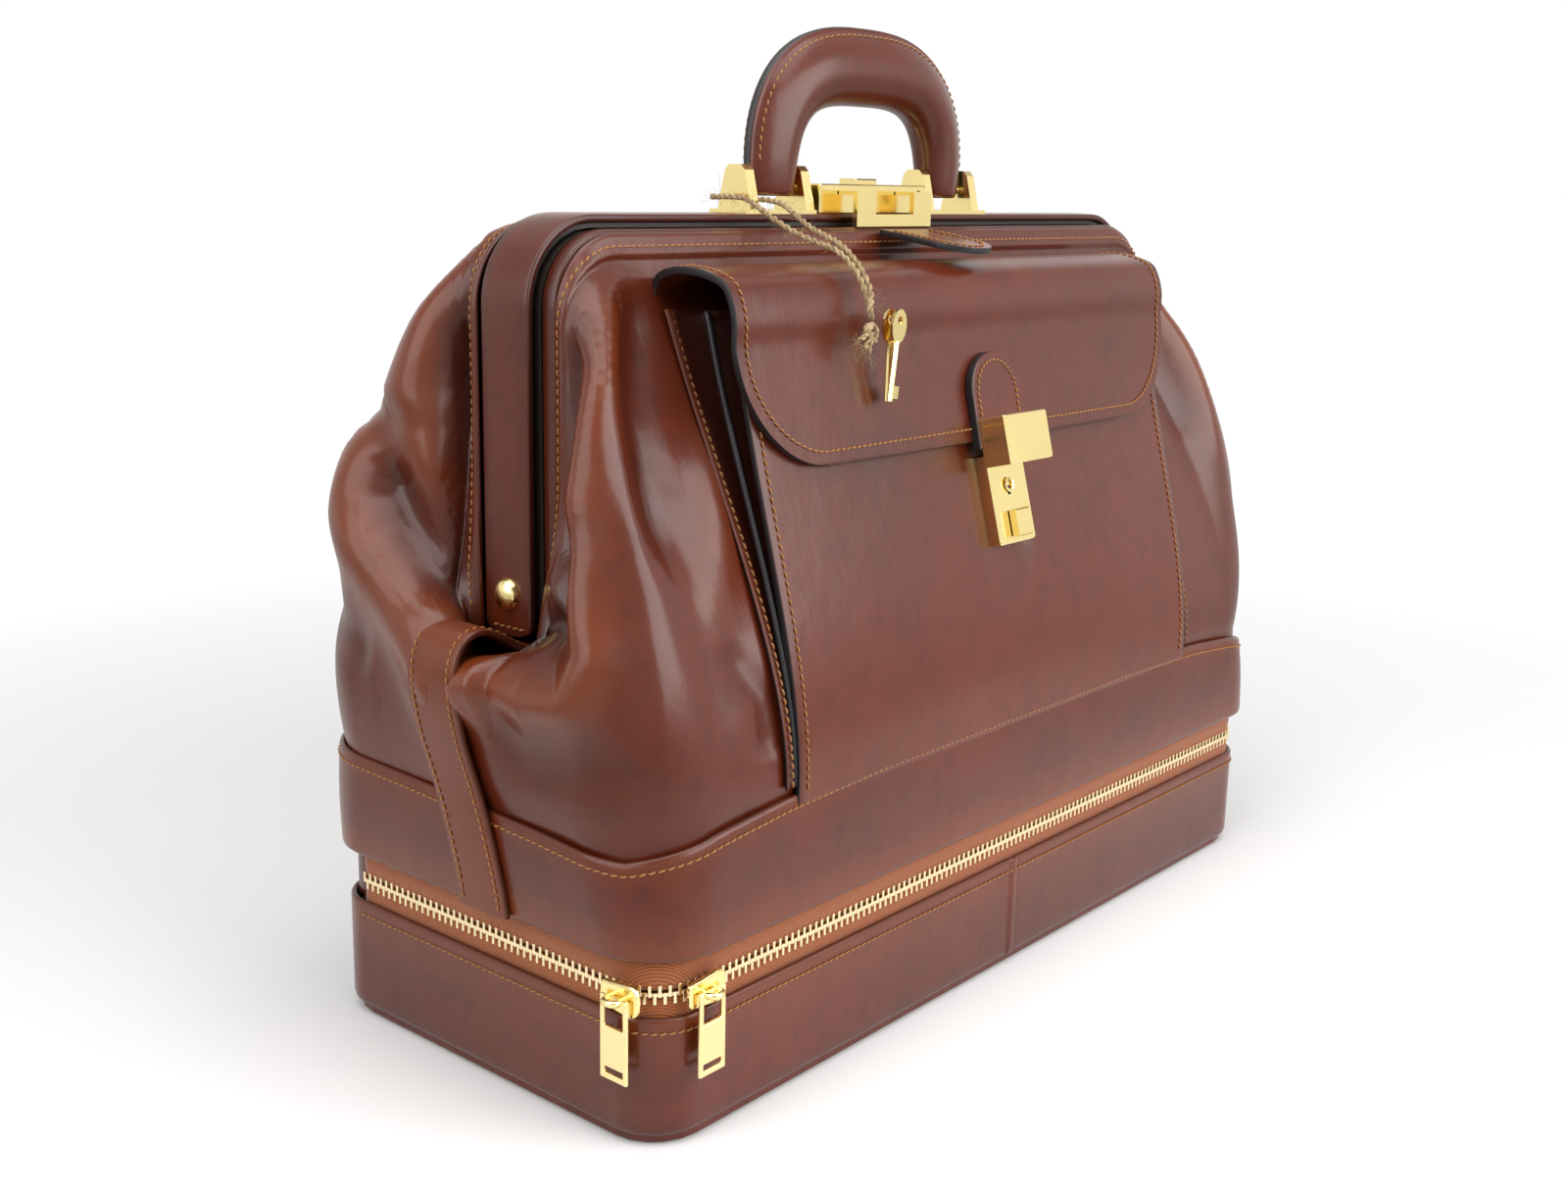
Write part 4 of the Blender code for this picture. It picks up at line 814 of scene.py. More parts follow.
def make_tray():
    profile = [(0.0030, 0.0040), (0.0028, 0.0016), (0.0036, 0.0005), (0.0052, 0.0), (0.010, 0.0), (0.018, 0.0),
               (0.026, 0.0), (0.034, 0.0), (0.0395, 0.0), (0.0440, 0.0), (0.0452, 0.0001), (0.0458, 0.0005),
               (0.0460, 0.0012), (0.0457, 0.0020), (0.0445, 0.0023), (0.0380, 0.0024)]
    rows = []
    for z, inset in profile:
        ring = rounded_ring(HALF_LENGTH - inset, HALF_DEPTH - inset, CORNER - inset)
        dense = resample(np.column_stack([np.vstack([ring, ring[:1]]), np.zeros(len(ring) + 1)]), 0.001, 1100)[0][:-1]
        dense[:, 2] = z
        front = (dense[:, 1] < -HALF_DEPTH + 0.004) & (z > 0.0032)
        away = dense[:, 0] - TRAY_SEAM_X
        dense[:, 1] -= np.where(front, 0.0007 * (1 - ease(np.abs(away + 0.0022), 0.0018, 0.0026)), 0)
        dense[:, 1] += np.where(front, 0.0006 * np.exp(-((away / 0.0007) ** 2)), 0)
        rows.append(dense)
    points = np.array(rows).transpose(1, 0, 2)
    obj = piece("tray_skin", points.reshape(-1, 3), grid_faces(*points.shape[:2], ring=True), LEATHER, sharp=0)
    z = points[:, :, 2]
    tones(obj, 0.5 * (1 - ease(z, 0.002, 0.008)) + 0.5 * ease(z, 0.0450, 0.0460), 0.22 * ease(z, 0.020, 0.044))
    put(obj, "tray", "leather", "base_tray")
    line = wall_line(-0.0001, back=HALF_DEPTH - CORNER)
    normals = unit(np.column_stack([np.gradient(line[:, 1]), -np.gradient(line[:, 0]), np.zeros(len(line))]))
    flip = np.sum(normals[:, :2] * line, axis=1).mean() < 0
    seam, _ = stitches("tray_stitches", np.column_stack([line, np.full(len(line), TRAY_TOP - 0.0052)]),
                       -normals if flip else normals)
    put(seam, "tray", "leather")


def box_part(centre, along, out, half, up=(0.0, 0.0, 1.0), taper=1.0):
    """A small box from its middle, two directions and half sizes (along, out, up), narrower at its top by taper."""
    along, out, up = (np.asarray(v, float) for v in (along, out, up))
    points = [centre + along * half[0] * a * (taper if c > 0 else 1) + out * half[1] * b + up * half[2] * c
              for c in (-1, 1) for a, b in ((-1, -1), (1, -1), (1, 1), (-1, 1))]
    faces = [(0, 3, 2, 1), (4, 5, 6, 7), (0, 1, 5, 4), (1, 2, 6, 5), (2, 3, 7, 6), (3, 0, 4, 7)]
    return np.array(points), faces


def make_zip():
    line = wall_line(0.0026, spacing=0.00165)
    along, out = outward(line)
    for name, start, sign, body, node in (("zip_teeth_low_visual", 0, -1, "tray", "zip_teeth_lower"),
                                          ("zip_teeth_high_visual", 1, 1, "main_body", "zip_teeth_upper")):
        parts = []
        for i in range(start, len(line), 2):
            a, o = (*along[i], 0.0), (*out[i], 0.0)
            centre = np.array((*line[i], ZIP_Z + sign * 0.0013))
            parts.append(box_part(centre, a, o, (0.00058, 0.00095, 0.0021)))
            parts.append(box_part(centre + (0, 0, -sign * 0.00125), a, o, (0.00088, 0.00075, 0.00062)))
        teeth = bevel(piece(name, *gathered(parts), TEETH, smooth=False), 0.00018, 2)
        put(teeth, body, "brass", node)
    for name, low, high, body, node in (("zip_tape_low_visual", 0.0400, ZIP_Z - 0.0012, "tray", "zip_tape_lower"),
                                        ("zip_tape_high_visual", ZIP_Z + 0.0012, ZIP_TAPE_TOP, "main_body",
                                         "zip_tape_upper")):
        heights = np.linspace(low, high, 9)
        near = wall_line(0.0036, spacing=0.002)
        away = outward(near)[1]
        bow = 0.0010 * np.sin(np.linspace(0, math.pi, 9))
        points = np.array([[(*(near[i] + away[i] * bow[j]), heights[j]) for j in range(9)] for i in range(len(near))])
        tape = piece(name, points.reshape(-1, 3), grid_faces(*points.shape[:2]), TAPE, sharp=0)
        put(solidify(tape, 0.0008, offset=0), body, "tape", node)
    angle, r = np.radians(np.linspace(-5, 84, 24)), CORNER - 0.0036
    for hand, label in ((-1, "left"), (1, "right")):
        heights = np.linspace(TRAY_TOP + 0.0005, ZIP_TAPE_TOP, 8)
        arc = [(hand * (HALF_LENGTH - CORNER + r * math.cos(a)), HALF_DEPTH - CORNER + r * math.sin(a))
               for a in angle]
        points = np.array([[(x, y, z) for z in heights] for x, y in arc])
        corner = piece("rear_corner_%s_skin" % label, points.reshape(-1, 3), grid_faces(*points.shape[:2]),
                       LEATHER_TRIM, sharp=0)
        tones(corner, 0.3)
        put(solidify(corner, 0.0010, offset=0), "main_body", "leather")


make_tray()
make_zip()


def dress(node, material, width=0.0, smooth=False):
    """Shows a CAD node with a material and rounded edges."""
    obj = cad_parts[node]
    obj.data.materials.clear()
    obj.data.materials.append(material)
    if smooth:
        obj.data.shade_smooth()
        obj.data.set_sharp_from_angle(angle=math.radians(35))
    if width:
        bevel(obj, width, 3, 30)
    return obj


def dress_hidden():
    dress("base_sole", LEATHER, 0.0006)
    dress("rear_hinge_strip", LEATHER, 0.0003)
    dress("tray_lining", LINING, 0.0)
    dress("divider_board", BOARD, 0.0)
    for node in ("front_frame_steel", "rear_frame_steel"):
        dress(node, STEEL, 0.0003)


dress_hidden()


# ---- The hinged frame's leather covers -----------------------------------------------------------
def u_line(half, top, low, r, spacing=0.0015):
    """X and Z along the frame's U, with the outward direction at each place."""
    a = np.radians(np.linspace(180, 90, 24))
    left = np.stack([-half + r + r * np.cos(a), top - r + r * np.sin(a)], axis=1)
    right = left[::-1] * (-1, 1)
    line = np.vstack([[(-half, low)], left, right, [(half, low)]])
    line = resample(np.column_stack([line, np.zeros(len(line))]), spacing)[0][:, :2]
    along = unit(np.gradient(line, axis=0))
    return line, np.column_stack([-along[:, 1], along[:, 0]])


def u_sweep(name, inset, section, material, low=FRAME_LOW, end_round=0.0):
    """A cross-section of (y, out) swept along the frame's U. The ends are narrowed over end_round."""
    line, out = u_line(FRAME_HALF - inset, FRAME_TOP - inset, low, FRAME_CORNER - inset)
    section = np.array(section)
    middle = section.mean(axis=0)
    rows = []
    for (x, z), o in zip(line, out):
        s = 1.0
        if end_round and z < low + end_round:
            d = 1 - (z - low) / end_round
            s = 0.55 + 0.45 * math.sqrt(max(0.0, 1 - d * d))
        rows.append([(x + o[0] * b, middle[0] + (y - middle[0]) * s, z + o[1] * b) for y, b in section])
    points = np.array(rows)
    obj = piece(name, points.reshape(-1, 3), swept_faces(*points.shape[:2]), material, sharp=50)
    fix_normals(obj)
    return obj


def fix_normals(obj):
    bm = bmesh.new()
    bm.from_mesh(obj.data)
    bmesh.ops.recalc_face_normals(bm, faces=bm.faces)
    bm.to_mesh(obj.data)
    bm.free()


def soft_section(y0, y1, b0, b1, r=0.0010, crown=0.0):
    """A rounded rectangle in (y, out), with its outer face a little crowned."""
    points = []
    for cy, cb, start in ((y1 - r, b1 - r, 0), (y0 + r, b1 - r, 90), (y0 + r, b0 + r, 180), (y1 - r, b0 + r, 270)):
        for i in range(5):
            a = math.radians(start + 22.5 * i)
            points.append((cy + r * math.cos(a), cb + r * math.sin(a)))
        if start == 0 and crown:
            for s in (0.75, 0.5, 0.25):
                points.append((y0 + (y1 - y0) * s, b1 + crown * math.sin(math.pi * s)))
    return points


def make_frame_covers():
    section = soft_section(-0.0112, 0.0124, -0.0024, 0.0004, 0.0011, 0.0003)
    rear = u_sweep("rear_frame_skin", 0.0, section, LEATHER, end_round=0.004)
    z = np.array([v.co.z for v in rear.data.vertices])
    y = np.array([v.co.y for v in rear.data.vertices])
    foot = 1 - ease(z, FRAME_LOW, FRAME_LOW + 0.004)
    tones(rear, 0.45 * ease(np.abs(y), 0.0096, 0.0112) + 0.3 * foot)
    put(rear, "rear_frame", "leather", "rear_frame_cover")
    for hand in (-1, 1):
        y = np.linspace(0.0078, -0.0085, 12)
        path = np.column_stack([np.full(12, hand * (FRAME_HALF + 0.0006)), y, np.full(12, FRAME_LOW + 0.0028)])
        seam, _ = stitches("frame_end_stitches_%s" % ("left" if hand < 0 else "right"), path,
                           np.tile((hand, 0, 0), (12, 1)), pitch=0.0034)
        put(seam, "rear_frame", "leather")
    section = soft_section(-0.0196, -0.0128, -0.0026, 0.0004, 0.0012, 0.0002)
    front = u_sweep("front_frame_skin", 0.0050, section, LEATHER, low=FRAME_LOW + 0.003, end_round=0.003)
    tones(front, 0.35)
    put(front, "front_frame", "leather", "front_frame_cover")


def lathe(profile, steps=32):
    """Points and faces of a closed round shape about Z from (radius, height) pairs."""
    points = [(r * math.cos(a), r * math.sin(a), h) for r, h in profile
              for a in np.linspace(0, 2 * math.pi, steps, endpoint=False)]
    return np.array(points), swept_faces(len(profile), steps)


def turned(points, origin, out):
    """The points with their Z along out, at an origin."""
    turn = Vector(out).to_track_quat("Z", "Y").to_matrix()
    return np.asarray(points) @ np.array(turn).T + np.asarray(origin, float)


def make_rivets():
    dome = [(0.0052, 0.0), (0.0058, 0.0003), (0.0058, 0.0008), (0.0054, 0.0013)]
    dome += [(0.0054 * math.cos(a), 0.0013 + 0.0024 * math.sin(a)) for a in np.radians(np.linspace(8, 86, 12))]
    points, faces = lathe(dome)
    for hand, label in ((-1, "left"), (1, "right")):
        placed = turned(points, (hand * (FRAME_HALF + 0.0004), 0, RIVET_Z), (hand, 0, 0))
        rivet = piece("rivet_%s_visual" % label, placed, faces, BRASS, sharp=50)
        put(rivet, "rear_frame", "brass", "rivet_" + label)
        dress("hinge_plate_" + label, BRASS, 0.0003)


make_frame_covers()
make_rivets()


# ---- The handle, its brackets and the top lock ---------------------------------------------------
def handle_line(steps=90):
    power, wide, low, top = 0.68, 0.0552, 0.3100, 0.3595
    a = math.pi * (1 - np.linspace(0, 1, steps + 1))
    c, s = np.cos(a), np.sin(a)
    line = np.column_stack([HARDWARE_X + wide * np.sign(c) * np.abs(c) ** power, np.zeros(steps + 1),
                            low + (top - low) * np.abs(s) ** power])
    return resample(line, 0.001, steps + 1)[0]


def grip_depth(c, thick):
    """Half the grip's thickness, from its middle (c = 0) out to the thin sewn flange (c = 1)."""
    return max(0.0017, thick * (1 - c**1.7) ** 0.75)


def make_handle():
    line = handle_line()
    along = unit(np.gradient(line, axis=0))
    out = np.column_stack([-along[:, 2], np.zeros(len(line)), along[:, 0]])
    share = np.sin(np.pi * np.linspace(0, 1, len(line))) ** 0.5
    grip, seam_front, seam_back, edge_rows = [], [], [], []
    for p, o, s in zip(line, out, share):
        wide, thick = 0.0085 + 0.0045 * s, 0.0075 + 0.0030 * s
        flange = wide + 0.0028
        section = []
        for a in np.radians(np.linspace(-180, 180, 41)[:-1]):
            c, d = math.cos(a), math.sin(a)
            across = wide * c - 0.0012 if c < 0 else -0.0012 + (flange + 0.0012) * c
            depth = math.copysign(grip_depth(c, thick), d if abs(d) > 1e-6 else 1) if c > 0 else thick * d
            section.append(p + o * across + (0, depth, 0))
        grip.append(section)
        base = p + o * (flange - 0.0030)
        depth = grip_depth((flange - 0.0018) / (flange + 0.0012), thick)
        seam_front.append(base + (0, -depth, 0))
        seam_back.append(base + (0, depth, 0))
        edge_rows.append([p + o * (flange - 0.0006 + 0.0006 * k) + (0, 0.0017 * y, 0)
                          for k, y in ((0, -1.0), (1, -0.8), (1.5, 0), (1, 0.8), (0, 1.0))])
    points = np.array(grip)
    obj = piece("grip_skin", points.reshape(-1, 3), swept_faces(*points.shape[:2]), LEATHER, sharp=0)
    fix_normals(obj)
    tones(obj, 0.0)
    put(obj, "handle", "leather", "handle_grip")
    rows = np.array(edge_rows)
    edge = piece("grip_edge", rows.reshape(-1, 3), grid_faces(*rows.shape[:2]), EDGE, sharp=0)
    fix_normals(edge)
    put(solidify(edge, 0.0006), "handle", "leather_edge", "handle_welt")
    for name, seam, side in (("grip_stitches_front", seam_front, -1), ("grip_stitches_back", seam_back, 1)):
        seam = np.array(seam)[6:-6]
        normals = unit(np.tile((0, side, 0), (len(seam), 1)) + out[6:-6] * 0.8)
        made, _ = stitches(name, seam, normals, pitch=0.0034)
        put(made, "handle", "leather")


def make_top_brass():
    for label in ("left", "right"):
        dress("handle_bracket_" + label, BRASS, 0.0005)
        dress("handle_pin_" + label, BRASS, 0.0, smooth=True)
    dress("lock_case", BRASS, 0.0004)
    dress("lock_button", BRASS, 0.0004)
    dress("lock_barrel", BRASS, 0.0002, smooth=True)
    dress("top_hasp", BRASS, 0.0005)


make_handle()
make_top_brass()


# ---- The front pocket, its flap and lock ---------------------------------------------------------
PANEL_LINE = body_points(np.ones(400), np.linspace(0, 1, 400), -1, 1)


def panel_y(z):
    return np.interp(-np.asarray(z, float), -PANEL_LINE[:, 2], PANEL_LINE[:, 1])


def pocket_depth(z):
    s = np.clip((np.asarray(z, float) - POCKET_LOW) / (POCKET_TOP - POCKET_LOW), 0, 1)
    return 2 * GAP + POCKET_DEPTH * s**1.6


def pocket_face(z):
    return panel_y(z) - pocket_depth(np.minimum(z, POCKET_TOP)) - 0.0022


def make_pocket():
    x = np.linspace(POCKET_X - POCKET_HALF, POCKET_X + POCKET_HALF, 80)
    z = np.linspace(0.1060, POCKET_TOP, 70)
    points = np.array([[(a, pocket_face(b), b) for b in z] for a in x])
    share = (points[:, :, 0] - POCKET_X) / POCKET_HALF
    bulge = 0.0016 * (1 - share**2) * np.sin(np.pi * np.clip((points[:, :, 2] - POCKET_LOW) / 0.15, 0, 1))
    points[:, :, 1] -= bulge * (1 - ease(points[:, :, 2], 0.150, 0.185) * ease(0.05 - np.abs(share), -0.10, 0.0))
    obj = piece("pocket_skin", points.reshape(-1, 3), grid_faces(*points.shape[:2]), LEATHER, EDGE, sharp=0)
    side = POCKET_HALF - np.abs(points[:, :, 0] - POCKET_X)
    tones(obj, 0.40 * (1 - ease(side, 0, 0.003)), 0.12 * ease(0.16 - points[:, :, 2], 0.0, 0.05))
    if np.mean([p.normal.y for p in obj.data.polygons]) > 0:
        obj.data.flip_normals()
    put(bevel(solidify(obj, 0.0021, 1), 0.0005), "front_panel", "leather", "pocket_front")
    for hand, label in ((-1, "left"), (1, "right")):
        edge = POCKET_X + hand * (POCKET_HALF - 0.0042)
        i = int(np.argmin(np.abs(x - edge)))
        line = points[i, 2:].copy()
        line[:, 0] = edge
        line[:, 1] -= 0.0001
        seam, _ = stitches("pocket_stitches_" + label, line, np.tile((0, -0.95, 0.3), (len(line), 1)))
        put(seam, "front_panel", "leather")
        gusset(hand, label)


def gusset(hand, label):
    """The bellows at a side of the pocket: a sewn foot on the body, a fold going in, and a lip behind the pocket."""
    heights = np.linspace(0.1130, POCKET_TOP + 0.004, 60)
    rows = []
    for z in heights:
        back, front = float(panel_y(z)) - 0.0002, float(pocket_face(z)) + 0.0022
        deep = max(back - front, 0.0004)
        x = POCKET_X + hand * POCKET_HALF
        shape = ((0.0056, -0.0016 / deep), (0.0050, 0.04), (0.0010, 0.10), (-0.0090, 0.30), (-0.0110, 0.46),
                 (-0.0004, 0.58), (-0.0110, 0.66), (-0.0100, 0.76), (-0.0010, 0.98))
        spread = min(1.0, deep / 0.012)
        rows.append([(x + hand * (dx if dx > 0.003 else dx * spread),
                      back - deep * max(s, 0.02) - (0.0014 if dx > 0.003 else 0), z) for dx, s in shape])
    points = np.array(rows)
    obj = piece("gusset_%s_skin" % label, points.reshape(-1, 3), grid_faces(*points.shape[:2]), LEATHER_TRIM, EDGE,
                sharp=60)
    # Painted shade: the fold that goes in behind the pocket is darkened (0.8 to 0.95), its lip a little less, and the
    # sewn foot hardly at all.
    tones(obj, np.tile((0.0, 0.1, 0.8, 0.95, 0.95, 0.75, 0.95, 0.95, 0.9), (len(heights), 1)))
    put(solidify(obj, 0.0010, 1, offset=0), "front_panel", "leather_edge", "pocket_gusset_" + label)
    lip = np.array([p[5] for p in rows])
    fold = piece("gusset_%s_fold" % label, *tube(lip, 0.0013, 8), EDGE, sharp=0)
    put(fold, "front_panel", "leather_edge")
    foot = np.array([(r[0][0] - hand * 0.0026, r[0][1] - 0.0006, r[0][2]) for r in rows])
    seam, _ = stitches("gusset_%s_stitches" % label, foot, np.tile((0, -0.95, 0.3), (len(foot), 1)))
    put(seam, "front_panel", "leather")


FLAP_PIVOT_Z = POCKET_TOP + 0.0165 - 0.0085 - GAP


def flap_profile(count=110):
    """Y and Z of the flap's outside, from the panel over the fold and down the pocket, at even spacing."""
    top = POCKET_TOP + 0.0165 + FLAP_THICK
    back = float(panel_y(top)) - 0.0012
    front = float(pocket_face(POCKET_TOP)) - 0.0012 - FLAP_THICK
    line = [(back + 0.0004, top - 0.0130), (back - 0.0004, top - 0.0075), (back - 0.0036, top - 0.0028),
            (back * 0.70 + front * 0.30, top - 0.0004), (back * 0.42 + front * 0.58, top - 0.0007),
            (front + 0.0058, top - 0.0038), (front + 0.0016, top - 0.0090), (front - 0.0008, top - 0.0170)]
    for z in np.linspace(FLAP_PIVOT_Z - 0.0140, FLAP_LOW, 7):
        line.append((float(pocket_face(z)) - 0.0012 - FLAP_THICK, z))
    smooth = smooth_line([(0.0, y, z) for y, z in line], 0.0004)
    return resample(smooth, 0.001, count)[0][:, 1:]


def make_flap():
    profile = flap_profile()
    columns = np.sin(np.linspace(-1, 1, 90) * math.pi / 2)
    rows = []
    for y, z in profile:
        up = max(0.0, FLAP_ROUND - (z - FLAP_LOW))
        half = FLAP_HALF - (FLAP_ROUND - math.sqrt(max(0.0, FLAP_ROUND**2 - up**2))) * 0.98
        fall = max(0.0, (0.262 - z) / 0.045)
        for s in columns:
            lift = 0.0016 * min(1.0, fall) * (1 - s * s) * 0.5
            rows.append((POCKET_X + half * s, y - lift, z))
    points = np.array(rows).reshape(len(profile), len(columns), 3)
    obj = piece("flap_skin", points.reshape(-1, 3), grid_faces(*points.shape[:2]), LEATHER, EDGE, sharp=0)
    if np.mean([p.normal.y for p in obj.data.polygons]) > 0:
        obj.data.flip_normals()
    z = points[:, :, 2]
    run = np.cumsum(np.concatenate([[0], np.linalg.norm(np.diff(profile, axis=0), axis=1)]))
    front_half = len(profile) // 3
    pivot = run[front_half + int(np.argmin(np.abs(profile[front_half:, 1] - FLAP_PIVOT_Z)))]
    weights = np.tile(ease(run, pivot - 0.0060, pivot + 0.0060)[:, None], (1, len(columns)))
    border = np.minimum(np.abs(np.abs(points[:, :, 0] - POCKET_X) - FLAP_HALF),
                        z - FLAP_LOW + 0.5 * (z > FLAP_LOW + 0.03))
    tones(obj, 0.35 * (1 - ease(np.abs(border), 0, 0.0025)))
    blended(bevel(solidify(obj, FLAP_THICK, 1), 0.0006), "front_panel", "flap", weights, "leather", "flap_fold",
            "pocket_flap")
    inset = 0.0045
    outline = []
    first = int(np.argmin(np.abs(run - 0.004)))
    for hand, order in ((-1, range(first, len(profile))), (1, range(len(profile) - 1, first, -1))):
        for i in order:
            yy, zz = profile[i]
            if zz < FLAP_LOW + inset and run[i] > 0.05:
                continue
            up = max(0.0, FLAP_ROUND - (zz - FLAP_LOW))
            r = FLAP_ROUND - inset
            h = FLAP_HALF - inset
            if up > 0:
                h -= r - math.sqrt(max(0.0, r * r - min(up, r) ** 2))
            outline.append((POCKET_X + hand * h, yy, zz, weights[i, 0], i))
        if hand < 0:
            last = outline[-1]
            for x in np.linspace(last[0], 2 * POCKET_X - last[0], 120)[1:-1]:
                outline.append((x, last[1], last[2], last[3], last[4]))
    outline = np.array(outline)
    slope = np.gradient(profile, axis=0)
    normals = []
    for i in outline[:, 4].astype(int):
        lean = 1 if profile[i, 1] > 0.27 else 0.3
        normals.append((0, -abs(slope[i, 1]) - 1e-6, abs(slope[i, 0]) * lean))
    s = (outline[:, 0] - POCKET_X) / FLAP_HALF
    fall = np.clip((0.262 - outline[:, 2]) / 0.045, 0, 1)
    outline[:, 1] -= 0.0008 * fall * (1 - s * s) + 0.0001
    seam, shares = stitches("flap_stitches", outline[:, :3], unit(normals), outline[:, 3], pitch=0.0030)
    blended(seam, "front_panel", "flap", shares, "leather")


def on_face(z0, off):
    """place(across, up, out) on the pocket's face at a height."""
    top, low = float(pocket_face(z0 + 0.015)), float(pocket_face(z0 - 0.015))
    up = unit((0, top - low, 0.030))
    out = np.array((0, -up[2], up[1]))
    origin = np.array((POCKET_X, float(pocket_face(z0)), z0)) + out * off

    def place(a, b, c):
        return origin + np.array((a, 0, 0)) + up * b + out * c

    return place


def plate(name, outline, place, low, high, material, edge=0.0004, extra=None):
    """A flat piece from an outline in (across, up), between two distances out."""
    n = len(outline)
    points = [place(a, b, low) for a, b in outline] + [place(a, b, high) for a, b in outline]
    faces = [list(range(n))[::-1], list(range(n, 2 * n))]
    faces += [(i, (i + 1) % n, n + (i + 1) % n, n + i) for i in range(n)]
    materials = [material] + ([extra] if extra else [])
    obj = piece(name, points, faces, *materials, smooth=False,
                face_material=[0, 0] + [1 if extra else 0] * n)
    fix_normals(obj)
    return bevel(obj, edge) if edge else obj


def arch(half, low, straight, steps=20):
    """An outline with a round top: straight sides from low to straight."""
    points = [(-half, low), (half, low), (half, straight)]
    points += [(half * math.cos(a), straight + half * math.sin(a)) for a in np.linspace(0, math.pi, steps)[1:-1]]
    return points + [(-half, straight)]


def arch_seam(half, low, straight, rows, steps):
    """A line in (across, up) that goes up one side, over a round top and down the other side."""
    line = [(-half, b) for b in np.linspace(low, straight, rows)]
    line += [(-half * math.cos(a), straight + half * math.sin(a)) for a in np.linspace(0, math.pi, steps)[1:-1]]
    return line + [(half, b) for b in np.linspace(straight, low, rows)]


def trimmed(obj):
    tones(obj, 0.0)
    return obj


def make_pocket_lock():
    place = on_face(0.2330, 0.0012 + FLAP_THICK + GAP)
    half = 0.0165

    def lifted(a, b, c):
        return place(a, b, c + 0.0008)

    tongue = plate("tongue_skin", arch(half, -0.0190, 0.0020, 28), lifted, -0.0008, 0.0030, LEATHER, extra=EDGE,
                   edge=0.0007)
    put(trimmed(tongue), "flap", "leather", "flap_tongue")
    path = np.array([lifted(a, b, 0.0030) for a, b in arch_seam(half - 0.0034, -0.012, 0.0020, 12, 40)])
    out = place(0, 0, 1) - place(0, 0, 0)
    seam, _ = stitches("tongue_stitches", path, np.tile(out, (len(path), 1)), pitch=0.0026, length=0.0022)
    put(seam, "flap", "leather")
    dress("flap_hasp", BRASS, 0.0006)
    place = on_face(0.1960, GAP)
    dress("pocket_lock_case", BRASS, 0.0004)
    dress("pocket_lock_slide", BRASS, 0.0004)
    dress("pocket_lock_barrel", BRASS, 0.0002, smooth=True)
    ring, faces = lathe([(0.0019, 0.0), (0.0025, 0.0), (0.0030, 0.0006), (0.0027, 0.0009), (0.0019, 0.0007)], 28)
    points = turned(ring, place(-0.001, 0.0040, 0.0062), place(0, 0, 1) - place(0, 0, 0))
    collar = piece("pocket_lock_collar", points, [f for f in faces if len(f) == 4], BRASS, sharp=40)
    put(collar, "pocket_cylinder", "brass")

    def keyed(a, b, c):
        return place(a - 0.001, b + 0.0030, c)

    # A near-black sheet paints the shade inside the keyhole.
    outline = [(-0.0004, -0.0030), (0.0004, -0.0030), (0.0004, 0.0006), (-0.0004, 0.0006)]
    slot = plate("pocket_keyhole", outline, keyed, 0.0058, 0.00640, KEYHOLE_SHADE, edge=0)
    put(slot, "pocket_cylinder", "brass")


def make_pull_tab():
    reach, half = 0.0400, 0.0150
    root = (-0.0235, 0.2955)

    def place(a, out, up):
        return np.array((HARDWARE_X + a, root[0] - out, root[1] + up - 0.11 * out - 1.0 * out * out))

    rows = []
    for s in np.linspace(0, 1, 40):
        out = reach * math.sin(s * math.pi / 2)
        wide = half if out < reach - half else math.sqrt(max(0.0, half**2 - (out - reach + half) ** 2))
        rows.append([place(wide * c, out, 0.0024) for c in np.linspace(-1, 1, 21)])
    points = np.array(rows)
    obj = piece("pull_tab_skin", points.reshape(-1, 3), grid_faces(*points.shape[:2]), LEATHER, EDGE, sharp=0)
    if np.mean([p.normal.z for p in obj.data.polygons]) < 0:
        obj.data.flip_normals()
    put(bevel(trimmed(solidify(obj, 0.0024, 1)), 0.0006), "pull_tab", "leather", "pull_tab")
    line = arch_seam(half - 0.0032, 0.004, reach - half, 14, 30)
    seam, _ = stitches("pull_tab_stitches", np.array([place(a, b, 0.0025) for a, b in line]),
                       np.tile((0, -0.1, 1), (len(line), 1)), pitch=0.0028, length=0.0022)
    put(seam, "pull_tab", "leather")


make_pocket()
make_flap()
make_pocket_lock()
make_pull_tab()


# ---- The straps on the ends, the sliders and the keys --------------------------------------------
# Outward reach and height of the strap's inner face: up the band, over the leather's lip, and in under the frame.
STRAP_ROUTE = (
    (0.2136, 0.0673), (0.2150, 0.0860), (0.2162, 0.1050), (0.2178, 0.1170), (0.2208, 0.1310), (0.2232, 0.1440),
    (0.2232, 0.1550), (0.2196, 0.1625), (0.2130, 0.1648), (0.2050, 0.1615), (0.1980, 0.1570), (0.1890, 0.1545))


def strap_line():
    return smooth_line([(x, 0, z) for x, z in STRAP_ROUTE], 0.001)


def strap_middle(z, share):
    """Y of the strap's middle: its foot slants towards the front, and it comes back to the middle under the frame."""
    return (-0.0130 * float(1 - ease(z, 0.066, 0.135)) + 0.0030) * (1 - float(ease(share, 0.70, 0.95)))


